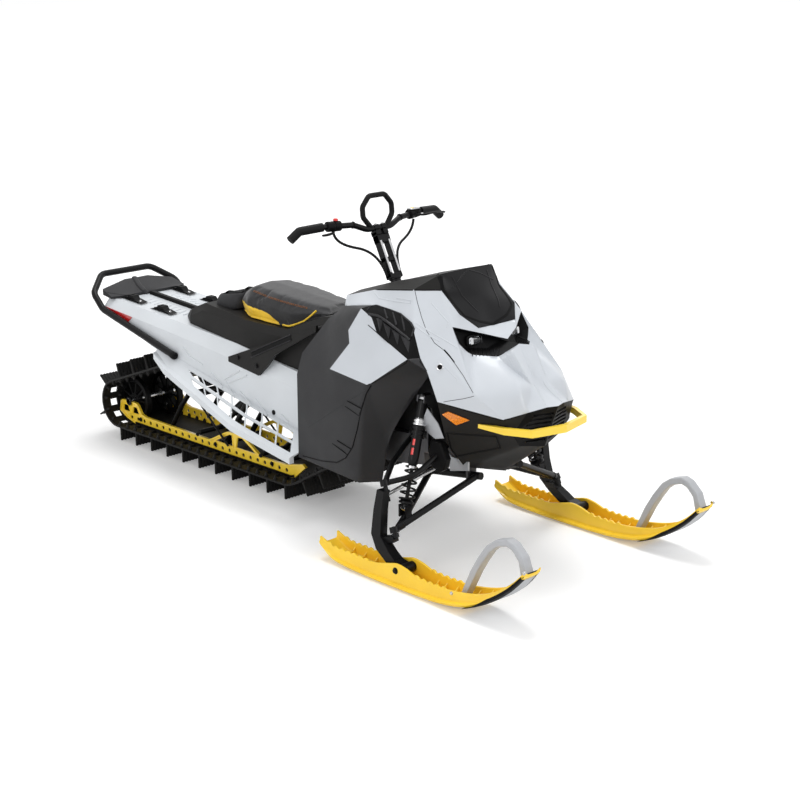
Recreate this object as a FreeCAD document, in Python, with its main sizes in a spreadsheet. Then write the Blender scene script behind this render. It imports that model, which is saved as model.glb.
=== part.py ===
import FreeCAD, Part

import math
import os

import Sketcher

# Mountain snowmobile, millimetres. X forward, Y left, Z up, the ground at Z = 0.
# Every shape is drawn from the ski bolts (X = 0 there) and then moved forward by origin_shift,
# which puts the origin under the middle of the whole machine.

SIZES = {
    # whole machine
    "origin_shift": 845,
    "seat_gap": 0.3,
    # skis and spindles
    "ski_stance": 924,
    "ski_bolt_height": 55,
    "ski_wall_thickness": 9,
    "ski_bolt_radius": 8,
    "ski_notch_length": 42,
    "ski_rib_thickness": 7,
    "saddle_half_width": 36,
    "spindle_foot_radius": 19,
    "loop_strap_width": 38,
    "loop_strap_thickness": 24,
    "loop_rear_foot_x": 276,
    "loop_front_foot_x": 584,
    "stud_radius": 8,
    "stud_clearance": 0.4,
    "eye_radius": 17,
    "eye_height": 22,
    "eye_gap": 1,
    # tie rods
    "tie_pin_radius": 5,
    "tie_ring_radius": 12,
    "tie_ring_height": 12,
    "tie_rod_radius": 7,
    # steering post and handlebar
    "post_foot_x": -534,
    "post_foot_z": 940,
    "post_top_x": -622,
    "post_top_z": 1112,
    "post_half_width": 30,
    "post_depth": 34,
    "post_shaft_radius": 15,
    "post_shaft_length": 120,
    "post_clearance": 6,
    "collar_radius": 27,
    "collar_length": 44,
    "collar_drop": 88,
    "support_leg_radius": 11,
    "support_foot_x": -500,
    "support_foot_y": 120,
    "bar_radius": 11,
    "bar_bend_radius": 60,
    "grip_radius": 16.5,
    "strap_radius": 10,
    "control_radius": 20,
    "lever_radius": 5,
    "cable_radius": 5,
    # front suspension
    "upper_arm_radius": 10,
    "upper_pivot_radius": 13,
    "lower_arm_radius": 12,
    "lower_pivot_radius": 14,
    "shock_radius": 21,
    "shock_shaft_radius": 8,
    "shock_eye_radius": 13,
    "shock_eye_width": 26,
    "shock_pin_radius": 6,
    "spring_seat_radius": 30,
    "spring_wire_radius": 5,
    "spring_turns": 6,
    "tower_plate": 6.5,
    "ear_thickness": 10,
    # track and slide frame
    "track_width": 394,
    "belt_thickness": 8,
    "lug_height": 64,
    "lug_thickness": 12,
    "lug_pitch": 64,
    "rear_axle_x": -2110,
    "rear_wheel_radius": 98,
    "drive_axle_x": -640,
    "drive_axle_z": 335,
    "drive_wheel_radius": 80,
    "carrier_wheel_x": -1590,
    "carrier_wheel_z": 398,
    "carrier_wheel_radius": 64,
    "front_bend_x": -985,
    "front_bend_radius": 150,
    "rail_half_spacing": 120,
    "rail_thickness": 12,
    "rail_height": 44,
    "rail_hole_radius": 9,
    "rail_hole_pitch": 46,
    "rail_hole_count": 20,
    "rail_hole_x": -1950,
    "wheel_half_spacing": 85,
    "wheel_width": 24,
    "wheel_spokes": 9,
    "axle_radius": 11,
    "skid_tube_radius": 13,
    "skid_arm_half_spacing": 62,
    "skid_shock_radius": 24,
    # tunnel, boards and tail
    "tunnel_half_width": 205,
    "tunnel_sheet": 3,
    "tunnel_chamfer_width": 30,
    "board_thickness": 5,
    "board_drop": 8,
    "board_lift": 22,
    "board_rail_height": 34,
    "board_rail_width": 22,
    "board_hole_pitch": 96,
    "board_hole_start": -1540,
    "board_hole_count": 7,
    "board_hole_slant": 42,
    "board_hole_margin": 16,
    "board_rib_width": 10,
    "hoop_radius": 14,
    "hoop_bend_radius": 55,
    "coolant_tube_width": 30,
    "coolant_tube_height": 14,
    "anchor_width": 30,
    "anchor_bore_radius": 8,
    "anchor_bore_depth": 16,
    "bracket_thickness": 12,
    "reflector_thickness": 3,
    # bodywork
    "panel_thickness": 5,
    "belly_boss_radius": 10,
    "slot_pitch": 17,
    "slat_height": 8,
    "slot_rim": 10,
    "slot_margin": 28,
    "grille_bar_half_width": 7,
    "bumper_thickness": 16,
    "lamp_radius": 14,
    "lamp_length": 20,
    # engine
    "engine_length": 300,
    "engine_width": 290,
    "engine_height": 320,
    "engine_x": -420,
    "engine_z": 420,
}

# Named points of the right-hand half of the bodywork: x, distance from the middle, z
HALF_BODY = {
    # windscreen
    "screen_top_mid": (-158, 0, 1034), "screen_top": (-163, 130, 1030),
    "screen_side": (-132, 140, 959), "screen_low": (-58, 142, 902),
    "screen_base": (-14, 98, 853), "screen_tip": (-26, 0, 847), "screen_heart": (-84, 0, 946),
    # dash
    "dash_rear_mid": (-605, 0, 905), "dash_rear": (-605, 110, 903),
    "dash_heart": (-400, 0, 965), "dash_side": (-400, 120, 968),
    "cowl_rear": (-605, 180, 892), "cowl_rear_low": (-577, 215, 862),
    "trim_corner": (-428, 198, 943), "shoulder": (-149, 144, 977),
    # hood sides
    "line_top": (-229, 200, 974), "line_mid": (-118, 241, 848), "line_low": (100, 228, 661),
    "vent_top": (-395, 252, 899), "vent_front": (-163, 268, 859), "vent_low": (-105, 288, 763),
    "edge_mid": (-63, 297, 725), "edge_low": (-10, 298, 625),
    # brow and lamp openings
    "brow_out": (-58, 178, 864), "brow_mid": (12, 75, 832), "brow_tip": (41, 0, 808),
    "lamp_out": (-22, 180, 809), "lamp_low": (2, 150, 770), "lamp_in": (73, 80, 763),
    "valley": (96, 0, 800),
    # bottoms of the lamp wells
    "well_out": (-79, 150, 842), "well_low": (-45, 140, 785), "well_in": (10, 72, 780),
    "well_tip": (10, 0, 800), "well_top": (-35, 80, 838),
    # nose
    "crest": (116, 60, 789), "cheek": (207, 120, 686),
    "scoop_out": (196, 42, 678), "scoop_low": (180, 0, 668),
    "lip_crease": (271, 42, 612), "lip_mid": (284, 0, 611),
    "lip_bend": (238, 108, 598), "lip_corner": (197, 184, 580),
    # light upper side panel
    "upper_top": (-418, 280, 888), "upper_brow": (-356, 286, 865), "upper_notch": (-322, 292, 815),
    "upper_back": (-465, 300, 803), "upper_knee": (-447, 312, 759),
    "upper_right": (-137, 320, 758), "upper_low": (-318, 342, 633), "upper_left": (-524, 340, 654),
    # dark side panel
    "side_top_rear": (-671, 215, 797), "knee_top": (-560, 258, 830),
    "knee_front": (-546, 325, 650), "knee_rear": (-742, 285, 665),
    "side_rear_mid": (-757, 300, 583), "side_rear_low": (-756, 300, 255),
    "side_low": (-457, 345, 310), "side_under": (-399, 315, 241), "side_front": (-347, 345, 541),
    "arch_top": (-105, 225, 712), "arch_mid": (-315, 240, 430), "arch_low": (-344, 250, 243),
    # belly
    "belly_rear": (-40, 222, 453), "belly_line": (208, 150, 520),
    "grille_low": (197, 100, 467), "grille_mid": (226, 0, 452),
    "keel_out": (-20, 150, 352), "keel_mid": (40, 0, 318),
}

# Named points of the running gear on the left side: x, distance from the middle, z
PLACES = {
    "upper_ball": (-158, 412, 320), "lower_ball": (-92, 428, 166),
    "tie_pin": (-178, 382, 246), "tie_inner": (-162, 118, 325), "steer_arm": (-152, 424, 246),
    "shock_foot": (-116, 352, 224), "shock_head": (-150, 226, 596),
    "upper_pivot_front": (-60, 168, 436), "upper_pivot_rear": (-275, 168, 436),
    "lower_eye_front": (-88, 414, 172), "lower_eye_rear": (-92, 408, 172),
    "lower_knee_front": (-80, 395, 182), "lower_knee_rear": (-118, 345, 196),
    "lower_front": (0, 105, 314), "lower_rear": (-225, 118, 286),
    "lower_pivot_front": (18, 103, 316), "lower_pivot_rear": (-250, 119.4, 283.1),
}

# Tables of stations, most of them from the rear forward: what the columns are, then the rows
STATIONS = {
    "tunnel": (("x", "low", "fold", "roof"), [
        (-2150, 590, 605, 643), (-1803, 482, 578, 622), (-1451, 410, 547, 600),
        (-1282, 380, 530, 588), (-897, 300, 484, 540), (-470, 240, 470, 538)]),
    "board": (("x", "reach", "top"), [
        (-1766, 222, 478), (-1659, 250, 437), (-1130, 322, 318), (-760, 332, 268)]),
    "base": (("x", "half", "top"), [
        (-1700, 95, 640), (-1610, 150, 672), (-1510, 160, 712), (-1330, 172, 700),
        (-1235, 172, 688), (-990, 165, 690), (-790, 150, 772), (-640, 150, 800)]),
    "cushion": (("x", "half", "top"), [
        (-1345, 96, 786), (-1262, 140, 815), (-1100, 150, 806), (-990, 146, 797),
        (-870, 120, 790), (-796, 96, 787)]),
    "hoop": (("x", "out", "z"), [
        (-2272, -89, 717), (-2205, 1, 655), (-2140, 0.5, 594), (-1640, 0, 478)]),
    "flap": (("x", "half", "top"), [
        (-2092, 0, 652), (-2088, 150, 652), (-2110, 196, 650), (-2185, 186, 672),
        (-2196, 60, 696), (-2200, 0, 694)]),
    "coolant": (("x",), [(-2080,), (-1803,), (-1730,)]),
    "anchor": (("x", "y"), [(-2040, 130), (-1830, 130)]),
    "anchor_top": (("along", "up"), [
        (30, 12), (18, 24), (-14, 24), (-18, 14), (-38, 12)]),
    "brace": (("x", "z"), [
        (-1278, 520), (-1278, 540), (-855, 710), (-740, 758), (-740, 735), (-846, 677), (-981, 603),
        (-1031, 550), (-1088, 497)]),
    "rail": (("x", "up"), [
        (-2182, 112), (-2182, 168), (-2050, 168), (-2022, 126), (-1540, 116), (-1420, 178), (-1300, 178),
        (-1200, 116), (-1040, 120), (-930, 146), (-922, 132), (-985, 80), (-1010, 72.3),
        (-2070, 72.3), (-2130, 87)]),
    "rail_window": (("x", "up"), [(-1475, 124), (-1405, 164), (-1375, 164), (-1375, 124)]),
    "rail_gusset": (("x", "up"), [(-1350, 124), (-1350, 164), (-1318, 164), (-1250, 124)]),
    "skid": (("foot_x", "foot_z", "head_x", "head_z", "shock_x", "shock_z"), [
        (-1130, 102, -900, 360, -1200, 128), (-1500, 102, -1290, 400, -1620, 128)]),
    "ski": (("x", "half", "low", "floor", "wall"), [
        (-400, 50, 46, 56, 84), (-330, 60, 14, 25, 62), (-250, 66, 4, 16, 60), (-120, 70, 0, 12, 60),
        (-45, 72, 0, 12, 76), (0, 72, 0, 12, 86), (45, 72, 0, 12, 80), (110, 72, 0, 12, 62),
        (250, 74, 8, 20, 62), (367, 72, 32, 44, 80), (450, 66, 72, 84, 108), (530, 56, 130, 140, 158),
        (592, 40, 196, 204, 212)]),
    "ski_rib": (("x",), [(-300,), (-240,), (-180,), (170,), (225,), (330,), (390,)]),
    "loop_outer": (("x", "z"), [
        (328, 141), (365, 203), (403, 254), (440, 281), (494, 297), (522, 288), (562, 252)]),
    "loop_inner": (("x", "z"), [
        (545, 234), (516, 263), (490, 271), (448, 257), (418, 232), (388, 190), (356, 139)]),
    "spindle": (("x", "y", "z", "long", "wide"), [
        (-160, 430, 225, 40, 34), (-152, 446, 140, 48, 34), (-100, 458, 96, 70, 40), (-30, 462, 52, 66, 44)]),
    "upper_front": (("x", "y", "z"), [
        (-150, 400, 322), (-94, 350, 342), (-84, 300, 362), (-80, 240, 395), (-74, 168, 436)]),
    "upper_rear": (("x", "y", "z"), [
        (-166, 400, 324), (-212, 320, 366), (-236, 240, 404), (-252, 168, 436)]),
    "tray": (("x", "low", "half_low", "half_top"), [
        (-480, 300, 201.7, 201.7), (-300, 300, 150, 160), (-10, 338, 95, 130)]),
    "tower": (("y", "z"), [
        (150, 385), (150, 585), (190, 608), (240, 608), (244, 585), (206, 558), (192, 500), (192, 385)]),
    "bumper": (("x", "half", "z", "depth"), [
        (105, 208, 545, 14), (205, 184, 541, 24), (288, 138, 539, 26), (318, 0, 538, 28)]),
    "amber": (("x", "z"), [(-11, 576), (15, 590), (79, 564), (24, 537)]),
    # from the middle of the handlebar clamp: x, distance from the middle, z
    "bar": (("x", "y", "z"), [(0, 60, 8), (-12, 120, 31), (-33, 240, 36), (-54, 345, 30)]),
    "grip": (("x", "y", "z"), [(-35, 250, 36), (-54, 345, 30), (-60, 384, 1)]),
    "strap": (("x", "y", "z"), [(1, 36, 8), (-6, 74, 54), (-10, 74, 92), (-12, 40, 130)]),
    "control": (("x", "y", "z"), [(-21, 175, 34), (-30, 235, 36)]),
    "lever": (("x", "y", "z"), [(-10, 196, 33), (16, 214, 32), (2, 300, 32), (-18, 364, 22)]),
    "paddle": (("x", "y", "z"), [(-20, 212, 22), (2, 232, 16), (-4, 276, 12)]),
    "cable": (("x", "y", "z"), [(-25, 205, 13), (-23, 200, -32), (38, 35.5, -74)]),
}

doc = FreeCAD.newDocument("snowmobile")
sheet = doc.addObject("Spreadsheet::Sheet", "sizes")
named_values = list(SIZES.items())
for name, point in list(HALF_BODY.items()) + list(PLACES.items()):
    named_values += [(name + "_" + axis, value) for axis, value in zip("xyz", point)]
for name, (columns, rows) in STATIONS.items():
    for number, values in enumerate(rows):
        named_values += [("%s_%s_%d" % (name, column, number), value)
                         for column, value in zip(columns, values)]
sheet.set("A1", "name")
sheet.set("B1", "millimetres")
for row, (name, value) in enumerate(named_values, start=2):
    sheet.set("A%d" % row, name)
    sheet.set("B%d" % row, str(value))
    sheet.setAlias("B%d" % row, name)
doc.recompute()


def size(name):
    return float(getattr(sheet, name))


def stations(name):
    """One table's rows, read from the sheet."""
    columns, rows = STATIONS[name]
    return [tuple(size("%s_%s_%d" % (name, column, number)) for column in columns)
            for number in range(len(rows))]


SHIFT = FreeCAD.Placement(FreeCAD.Vector(size("origin_shift"), 0, 0), FreeCAD.Rotation())
ACROSS = FreeCAD.Vector(0, 1, 0)
FORWARD = FreeCAD.Vector(1, 0, 0)
GAP = size("seat_gap")
nodes = []


# Helpers for shapes that no sketch or primitive gives

def vec(x, y, z):
    return FreeCAD.Vector(x, y, z)


def mirrored(points, side):
    """The same points on the left (side = 1) or on the right (side = -1)."""
    return [(x, y * side, z) for x, y, z in points]


def point_of(name, side=1):
    """A named place in the sheet, on one side."""
    return vec(size(name + "_x"), size(name + "_y") * side, size(name + "_z"))


def keep(name, shape):
    """Makes a shape a node of its own."""
    feature = doc.addObject("Part::Feature", name)
    feature.Label = name
    feature.Shape = shape
    feature.Placement = SHIFT
    nodes.append(feature)


def prism(outline, y_start, y_end):
    """A side-view outline, extruded across from y_start to y_end."""
    corners = [vec(x, y_start, z) for x, z in outline]
    face = Part.Face(Part.makePolygon(corners + corners[:1]))
    return face.extrude(vec(0, y_end - y_start, 0))


def plan_prism(outline, z_start, z_end):
    """A plan-view outline, extruded up from z_start to z_end."""
    corners = [vec(x, y, z_start) for x, y in outline]
    face = Part.Face(Part.makePolygon(corners + corners[:1]))
    return face.extrude(vec(0, 0, z_end - z_start))


def front_prism(outline, x_start, x_end):
    """A front-view outline, extruded forward from x_start to x_end."""
    corners = [vec(x_start, y, z) for y, z in outline]
    face = Part.Face(Part.makePolygon(corners + corners[:1]))
    return face.extrude(vec(x_end - x_start, 0, 0))


def box_between(low, high):
    """An upright box from its lowest to its highest corner."""
    spans = [abs(b - a) for a, b in zip(low, high)]
    start = [min(a, b) for a, b in zip(low, high)]
    return Part.makeBox(spans[0], spans[1], spans[2], vec(*start))


def sections_solid(sections):
    """A ruled solid through closed outlines that have the same number of corners."""
    wires = []
    for outline in sections:
        corners = [vec(*point) for point in outline]
        wires.append(Part.makePolygon(corners + corners[:1]))
    return Part.makeLoft(wires, True, True)


def rod(start, end, radius):
    start = vec(*start)
    end = vec(*end)
    return Part.makeCylinder(radius, (end - start).Length, start, end - start)


def path_wire(points, bend):
    """Straight runs joined by tangent arcs of the radius bend, or of what the runs leave room for."""
    points = [vec(*point) for point in points]
    edges = []
    last = points[0]
    for before, corner, after in zip(points, points[1:], points[2:]):
        back = (before - corner).normalize()
        ahead = (after - corner).normalize()
        half_turn = (math.pi - back.getAngle(ahead)) / 2
        run = min((before - corner).Length, (after - corner).Length)
        reach = min(bend * math.tan(half_turn), 0.45 * run)
        arc_radius = reach / math.tan(half_turn)
        arc_start = corner + back * reach
        arc_end = corner + ahead * reach
        inward = (back + ahead).normalize()
        middle = corner + inward * (arc_radius / math.cos(half_turn) - arc_radius)
        edges.append(Part.LineSegment(last, arc_start).toShape())
        edges.append(Part.Arc(arc_start, middle, arc_end).toShape())
        last = arc_end
    edges.append(Part.LineSegment(last, points[-1]).toShape())
    return Part.Wire(edges)


def tube(points, radius, bend):
    """A round bar along a path with rounded corners."""
    wire = path_wire(points, bend)
    start = vec(*points[0])
    direction = vec(*points[1]) - start
    circle = Part.Wire(Part.Circle(start, direction, radius).toShape())
    return wire.makePipeShell([circle], True, True)


def bar(start, end, width, depth):
    """A straight bar of rectangular section, its width across the machine."""
    start = vec(*start)
    end = vec(*end)
    along = (end - start).normalize()
    side = (ACROSS - along * along.dot(ACROSS)).normalize() * (width / 2)
    face_out = along.cross(side).normalize() * (depth / 2)
    corners = [start + side + face_out, start - side + face_out,
               start - side - face_out, start + side - face_out]
    face = Part.Face(Part.makePolygon(corners + corners[:1]))
    return face.extrude(end - start)


def strap(line, thickness):
    """A flat bar on edge round a plan-view line of x, y, middle height and depth."""
    sections = []
    for number, (x, y, z, depth) in enumerate(line):
        before = line[max(number - 1, 0)]
        after = line[min(number + 1, len(line) - 1)]
        run = vec(after[0] - before[0], after[1] - before[1], 0).normalize()
        out = run.cross(vec(0, 0, 1)) * (thickness / 2)
        sections.append([(x + out.x, y + out.y, z - depth / 2), (x + out.x, y + out.y, z + depth / 2),
                         (x - out.x, y - out.y, z + depth / 2), (x - out.x, y - out.y, z - depth / 2)])
    return sections_solid(sections)


def joined(shapes):
    """One shape from pieces that overlap."""
    result = shapes[0]
    if len(shapes) > 1:
        result = shapes[0].multiFuse(shapes[1:])
    return result.removeSplitter()


def both_sides(maker):
    """Right and left copies of what maker(side) gives, in one compound."""
    return Part.makeCompound([maker(-1), maker(1)])


def along_line(line, x, column):
    """The value in one column of a table of stations, at a place between them or just past the ends."""
    for before, after in zip(line, line[1:]):
        if x <= after[0] or after is line[-1]:
            share = (x - before[0]) / (after[0] - before[0])
            return before[column] + (after[column] - before[column]) * share


# Helpers for bodies made from a side-view sketch

def add_loop(sketch, outline):
    """A closed outline of straight lines in a sketch."""
    corners = [vec(x, z, 0) for x, z in outline]
    for start, end in zip(corners, corners[1:] + corners[:1]):
        sketch.addGeometry(Part.LineSegment(start, end), False)


def side_sketch(body, name):
    """An empty sketch in the body's side-view plane."""
    plane = [feature for feature in body.Origin.OriginFeatures if feature.Role == "XZ_Plane"][0]
    sketch = body.newObject("Sketcher::SketchObject", name)
    sketch.AttachmentSupport = [(plane, "")]
    sketch.MapMode = "FlatFace"
    return sketch


def side_pad(name, loops, thickness, y_middle):
    """A body padded evenly both ways from a side-view outline and its windows.
    The thickness and the place across are formulas on the sheet."""
    body = doc.addObject("PartDesign::Body", name)
    sketch = side_sketch(body, name + "_outline")
    for loop in loops:
        add_loop(sketch, loop)
    pad = body.newObject("PartDesign::Pad", name + "_pad")
    pad.Profile = sketch
    pad.SideType = "Symmetric"
    pad.setExpression("Length", thickness)
    body.setExpression("Placement.Base.x", "sizes.origin_shift")
    body.setExpression("Placement.Base.y", y_middle)
    doc.recompute()
    return body


def keep_group(name, members):
    """One node from several objects of the document."""
    group = doc.addObject("Part::Compound", name)
    group.Label = name
    group.Links = members
    nodes.append(group)


# Bodywork: one sheet of named points, cut into panels along the real seams

PANELS = {
    "windscreen": [
        ("screen_top_mid", "screen_top", "screen_heart"), ("screen_top", "screen_side", "screen_heart"),
        ("screen_top", "shoulder", "screen_side"),
        ("screen_side", "screen_low", "screen_heart"), ("screen_low", "screen_base", "screen_heart"),
        ("screen_base", "screen_tip", "screen_heart")],
    "dash": [
        ("dash_rear_mid", "dash_rear", "dash_side", "dash_heart"),
        ("dash_heart", "dash_side", "screen_top", "screen_top_mid"),
        ("dash_rear", "cowl_rear", "trim_corner", "dash_side"),
        ("dash_side", "trim_corner", "line_top", "screen_top"),
        ("line_top", "shoulder", "screen_top")],
    "hood": [
        ("shoulder", "line_top", "line_mid"), ("shoulder", "line_mid", "brow_out"),
        ("screen_side", "shoulder", "brow_out", "screen_low"),
        ("screen_low", "brow_out", "brow_mid", "screen_base"),
        ("screen_base", "brow_mid", "brow_tip", "screen_tip"),
        ("brow_out", "line_mid", "line_low", "lamp_out"), ("lamp_out", "line_low", "lamp_low"),
        ("lamp_low", "line_low", "cheek"), ("lamp_low", "cheek", "lamp_in"),
        ("lamp_in", "cheek", "scoop_out", "crest"), ("lamp_in", "crest", "valley"),
        ("valley", "crest", "scoop_out", "scoop_low"),
        ("scoop_low", "scoop_out", "lip_crease", "lip_mid"),
        ("scoop_out", "cheek", "lip_bend", "lip_crease"),
        ("cheek", "line_low", "lip_corner", "lip_bend")],
    "lamp_housing": [
        ("brow_mid", "brow_out", "well_out", "well_top"), ("brow_tip", "brow_mid", "well_top", "well_tip"),
        ("brow_out", "lamp_out", "well_low", "well_out"), ("lamp_out", "lamp_low", "well_low"),
        ("lamp_low", "lamp_in", "well_in", "well_low"), ("lamp_in", "valley", "well_tip", "well_in"),
        ("well_out", "well_low", "well_top"), ("well_low", "well_in", "well_top"),
        ("well_in", "well_tip", "well_top")],
    "hood_sides": [
        ("cowl_rear", "vent_top", "trim_corner"), ("cowl_rear", "cowl_rear_low", "vent_top"),
        ("trim_corner", "vent_top", "vent_front", "line_top"), ("line_top", "vent_front", "line_mid"),
        ("line_mid", "vent_front", "vent_low"), ("line_mid", "vent_low", "edge_mid"),
        ("line_mid", "edge_mid", "line_low"), ("line_low", "edge_mid", "edge_low"),
        ("line_low", "edge_low", "lip_corner")],
    "side_vents": [
        ("vent_top", "upper_top", "upper_brow"), ("vent_top", "upper_brow", "vent_front"),
        ("upper_brow", "upper_notch", "vent_front"),
        ("vent_front", "upper_notch", "upper_right"), ("vent_front", "upper_right", "vent_low")],
    "upper_panels": [
        ("upper_top", "upper_back", "upper_brow"), ("upper_back", "upper_notch", "upper_brow"),
        ("upper_back", "upper_knee", "upper_notch"), ("upper_knee", "upper_left", "upper_low"),
        ("upper_knee", "upper_low", "upper_notch"),
        ("upper_notch", "upper_low", "upper_right")],
    "side_panels": [
        ("cowl_rear_low", "knee_top", "upper_top"), ("cowl_rear_low", "upper_top", "vent_top"),
        ("side_top_rear", "knee_top", "cowl_rear_low"),
        ("side_top_rear", "knee_rear", "knee_front", "knee_top"),
        ("knee_top", "knee_front", "upper_knee"), ("knee_front", "upper_left", "upper_knee"),
        ("knee_top", "upper_knee", "upper_back"), ("knee_top", "upper_back", "upper_top"),
        ("knee_rear", "side_rear_mid", "knee_front"),
        ("knee_front", "side_front", "upper_low", "upper_left"),
        ("side_rear_mid", "side_rear_low", "side_low", "knee_front"),
        ("knee_front", "side_low", "side_front"),
        ("upper_low", "side_front", "arch_mid", "arch_top"), ("upper_low", "arch_top", "upper_right"),
        ("side_front", "side_low", "side_under", "arch_mid"), ("side_under", "arch_low", "arch_mid"),
        ("side_rear_low", "side_under", "side_low"),
        ("upper_right", "arch_top", "edge_mid", "vent_low")],
    "belly": [
        ("edge_low", "belly_rear", "belly_line", "lip_corner"),
        ("lip_corner", "belly_line", "lip_bend"),
        ("belly_rear", "keel_out", "grille_low", "belly_line"),
        ("keel_out", "keel_mid", "grille_mid", "grille_low")],
    "grille": [
        ("belly_line", "grille_low", "lip_crease", "lip_bend"),
        ("grille_low", "grille_mid", "lip_mid", "lip_crease")],
}
PAIRED_PANELS = ("hood_sides", "side_vents", "upper_panels", "side_panels")

# Under the sharp brow of the lamps, where hood and pocket fold back on each other, these directions
# part the two sheets
BROW_WAYS = {"brow_tip": (4, 0, -1), "brow_mid": (6, 3, -1), "well_tip": (1, 0, 0)}


def body_point(key):
    name, side = key
    return point_of(name, side)


def body_faces(panel, side):
    """The panel's triangles on one side, each turned to face outward."""
    triangles = []
    for corners in PANELS[panel]:
        keys = [(name, side if size(name + "_y") else 0) for name in corners]
        fan = [(keys[0], keys[i], keys[i + 1]) for i in range(1, len(keys) - 1)]
        triangles += fan if side < 0 else [(a, c, b) for a, b, c in fan]
    return triangles


def triangle_normal(triangle):
    a, b, c = [body_point(key) for key in triangle]
    return (b - a).cross(c - a)


def body_normals():
    """The mean outward direction of the sheet at each of its points."""
    normals = {}
    for panel in PANELS:
        for side in (-1, 1):
            for triangle in body_faces(panel, side):
                for key in triangle:
                    normals.setdefault(key, vec(0, 0, 0))
                    normals[key] = normals[key] + triangle_normal(triangle)
    for key in normals:
        if key[0] in BROW_WAYS:
            x, y, z = BROW_WAYS[key[0]]
            normals[key] = vec(x, y * key[1], z)
    return {key: normal.normalize() for key, normal in normals.items()}


NORMALS = body_normals()


def inner_point(key):
    return body_point(key) - NORMALS[key] * size("panel_thickness")


def triangle_face(a, b, c):
    return Part.Face(Part.makePolygon([a, b, c, a]))


def panel_solid(triangles):
    """A sheet of triangles as thick as a panel, closed all round its edge."""
    faces = []
    edges = {}
    for triangle in triangles:
        outer = [body_point(key) for key in triangle]
        inner = [inner_point(key) for key in triangle]
        faces.append(triangle_face(*outer))
        faces.append(triangle_face(*reversed(inner)))
        for start, end in zip(triangle, triangle[1:] + triangle[:1]):
            if (end, start) in edges:
                del edges[(end, start)]
            else:
                edges[(start, end)] = True
    for start, end in edges:
        low, high = sorted((start, end))
        rim = [triangle_face(body_point(low), inner_point(low), body_point(high)),
               triangle_face(body_point(high), inner_point(low), inner_point(high))]
        faces += rim
    shell = Part.makeShell(faces)
    shell.sewShape()
    solid = Part.makeSolid(shell)
    if solid.Volume < 0:
        solid.reverse()
    return solid


def out_of(triangle):
    """The direction a triangle of the sheet faces, by its three keys."""
    return triangle_normal(triangle).normalize()


def post_foot():
    return vec(size("post_foot_x"), 0, size("post_foot_z"))


def post_top():
    return vec(size("post_top_x"), 0, size("post_top_z"))


def post_direction():
    return (post_top() - post_foot()).normalize()


def post_hole():
    """What the dash leaves free round the steering post."""
    along = post_direction()
    reach = size("post_shaft_length")
    radius = size("post_shaft_radius") + size("post_clearance")
    return Part.makeCylinder(radius, 2 * reach, post_foot() - along * reach, along)


def grille_edge(z):
    """How far out from the middle the grille reaches at a height."""
    rows = [(size(name + "_z"), size(name + "_y")) for name in ("grille_low", "belly_line", "lip_bend")]
    return along_line(rows, z, 1)


def grille_slots():
    """The openings between the slats, on both sides of the middle bar."""
    slots = []
    start_x = size("grille_low_x") - 2 * size("bumper_thickness")
    end_x = size("lip_mid_x") + 2 * size("bumper_thickness")
    floor = max(size("grille_low_z"), size("grille_mid_z")) + size("slot_rim")
    ceiling = min(size(name + "_z") for name in ("lip_bend", "lip_crease", "lip_mid")) - size("slot_rim")
    slat = size("slat_height")
    count = round((ceiling - floor + slat) / size("slot_pitch"))
    pitch = (ceiling - floor + slat) / count
    for number in range(count):
        low = floor + number * pitch
        high = low + pitch - slat
        reach = min(grille_edge(low), grille_edge(high)) - size("slot_margin")
        for side in (-1, 1):
            slots.append(box_between((start_x, size("grille_bar_half_width") * side, low),
                                     (end_x, reach * side, high)))
    return Part.makeCompound(slots)


def make_bodywork():
    cuts = {"dash": post_hole(), "grille": grille_slots()}
    for panel in PANELS:
        if panel in PAIRED_PANELS:
            keep(panel, both_sides(lambda side: panel_solid(body_faces(panel, side))))
        else:
            shape = panel_solid(body_faces(panel, -1) + body_faces(panel, 1))
            keep(panel, shape.cut(cuts[panel]) if panel in cuts else shape)


def lamp(side):
    """The lens barrel, standing on the rear wall of its well."""
    wall = [("well_out", side), ("well_low", side), ("well_top", side)]
    if side > 0:
        wall = [wall[0], wall[2], wall[1]]
    out = out_of(wall)
    middle = vec(0, 0, 0)
    for key in wall:
        middle = middle + inner_point(key) / 3 + NORMALS[key] * (size("panel_thickness") / 3)
    return Part.makeCylinder(size("lamp_radius"), size("lamp_length"), middle + out * GAP, out)


def belly_side(side, reach):
    """The belly's flank on one side, moved out by the gap and made solid inward."""
    blocks = []
    for names in (("edge_low", "belly_rear", "belly_line"), ("edge_low", "belly_line", "lip_corner")):
        triangle = [(name, side) for name in names]
        if side > 0:
            triangle = triangle[::-1]
        out = out_of(triangle)
        corners = [body_point(key) + out * GAP for key in triangle]
        blocks.append(triangle_face(*corners).extrude(out * -reach))
    return blocks


def amber_reflector(side):
    """A thin lens lying on the belly's flank."""
    triangle = [("edge_low", side), ("belly_rear", side), ("belly_line", side)]
    if side > 0:
        triangle = triangle[::-1]
    out = out_of(triangle)
    anchor = body_point(triangle[0])
    corners = []
    for x, z in stations("amber"):
        y = anchor.y - (out.x * (x - anchor.x) + out.z * (z - anchor.z)) / out.y
        corners.append(vec(x, y, z) + out * GAP)
    face = Part.Face(Part.makePolygon(corners + corners[:1]))
    return face.extrude(out * size("reflector_thickness"))


def make_bumper():
    half = stations("bumper")
    line = [(x, -y, z, depth) for x, y, z, depth in half[:-1]] + half[::-1]
    shape = strap(line, size("bumper_thickness"))
    for side in (-1, 1):
        shape = shape.cut(belly_side(side, 4 * size("bumper_thickness")))
    keep("front_bumper", max(shape.Solids, key=lambda solid: solid.Volume))


# Tunnel, boards, tail and seat

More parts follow.
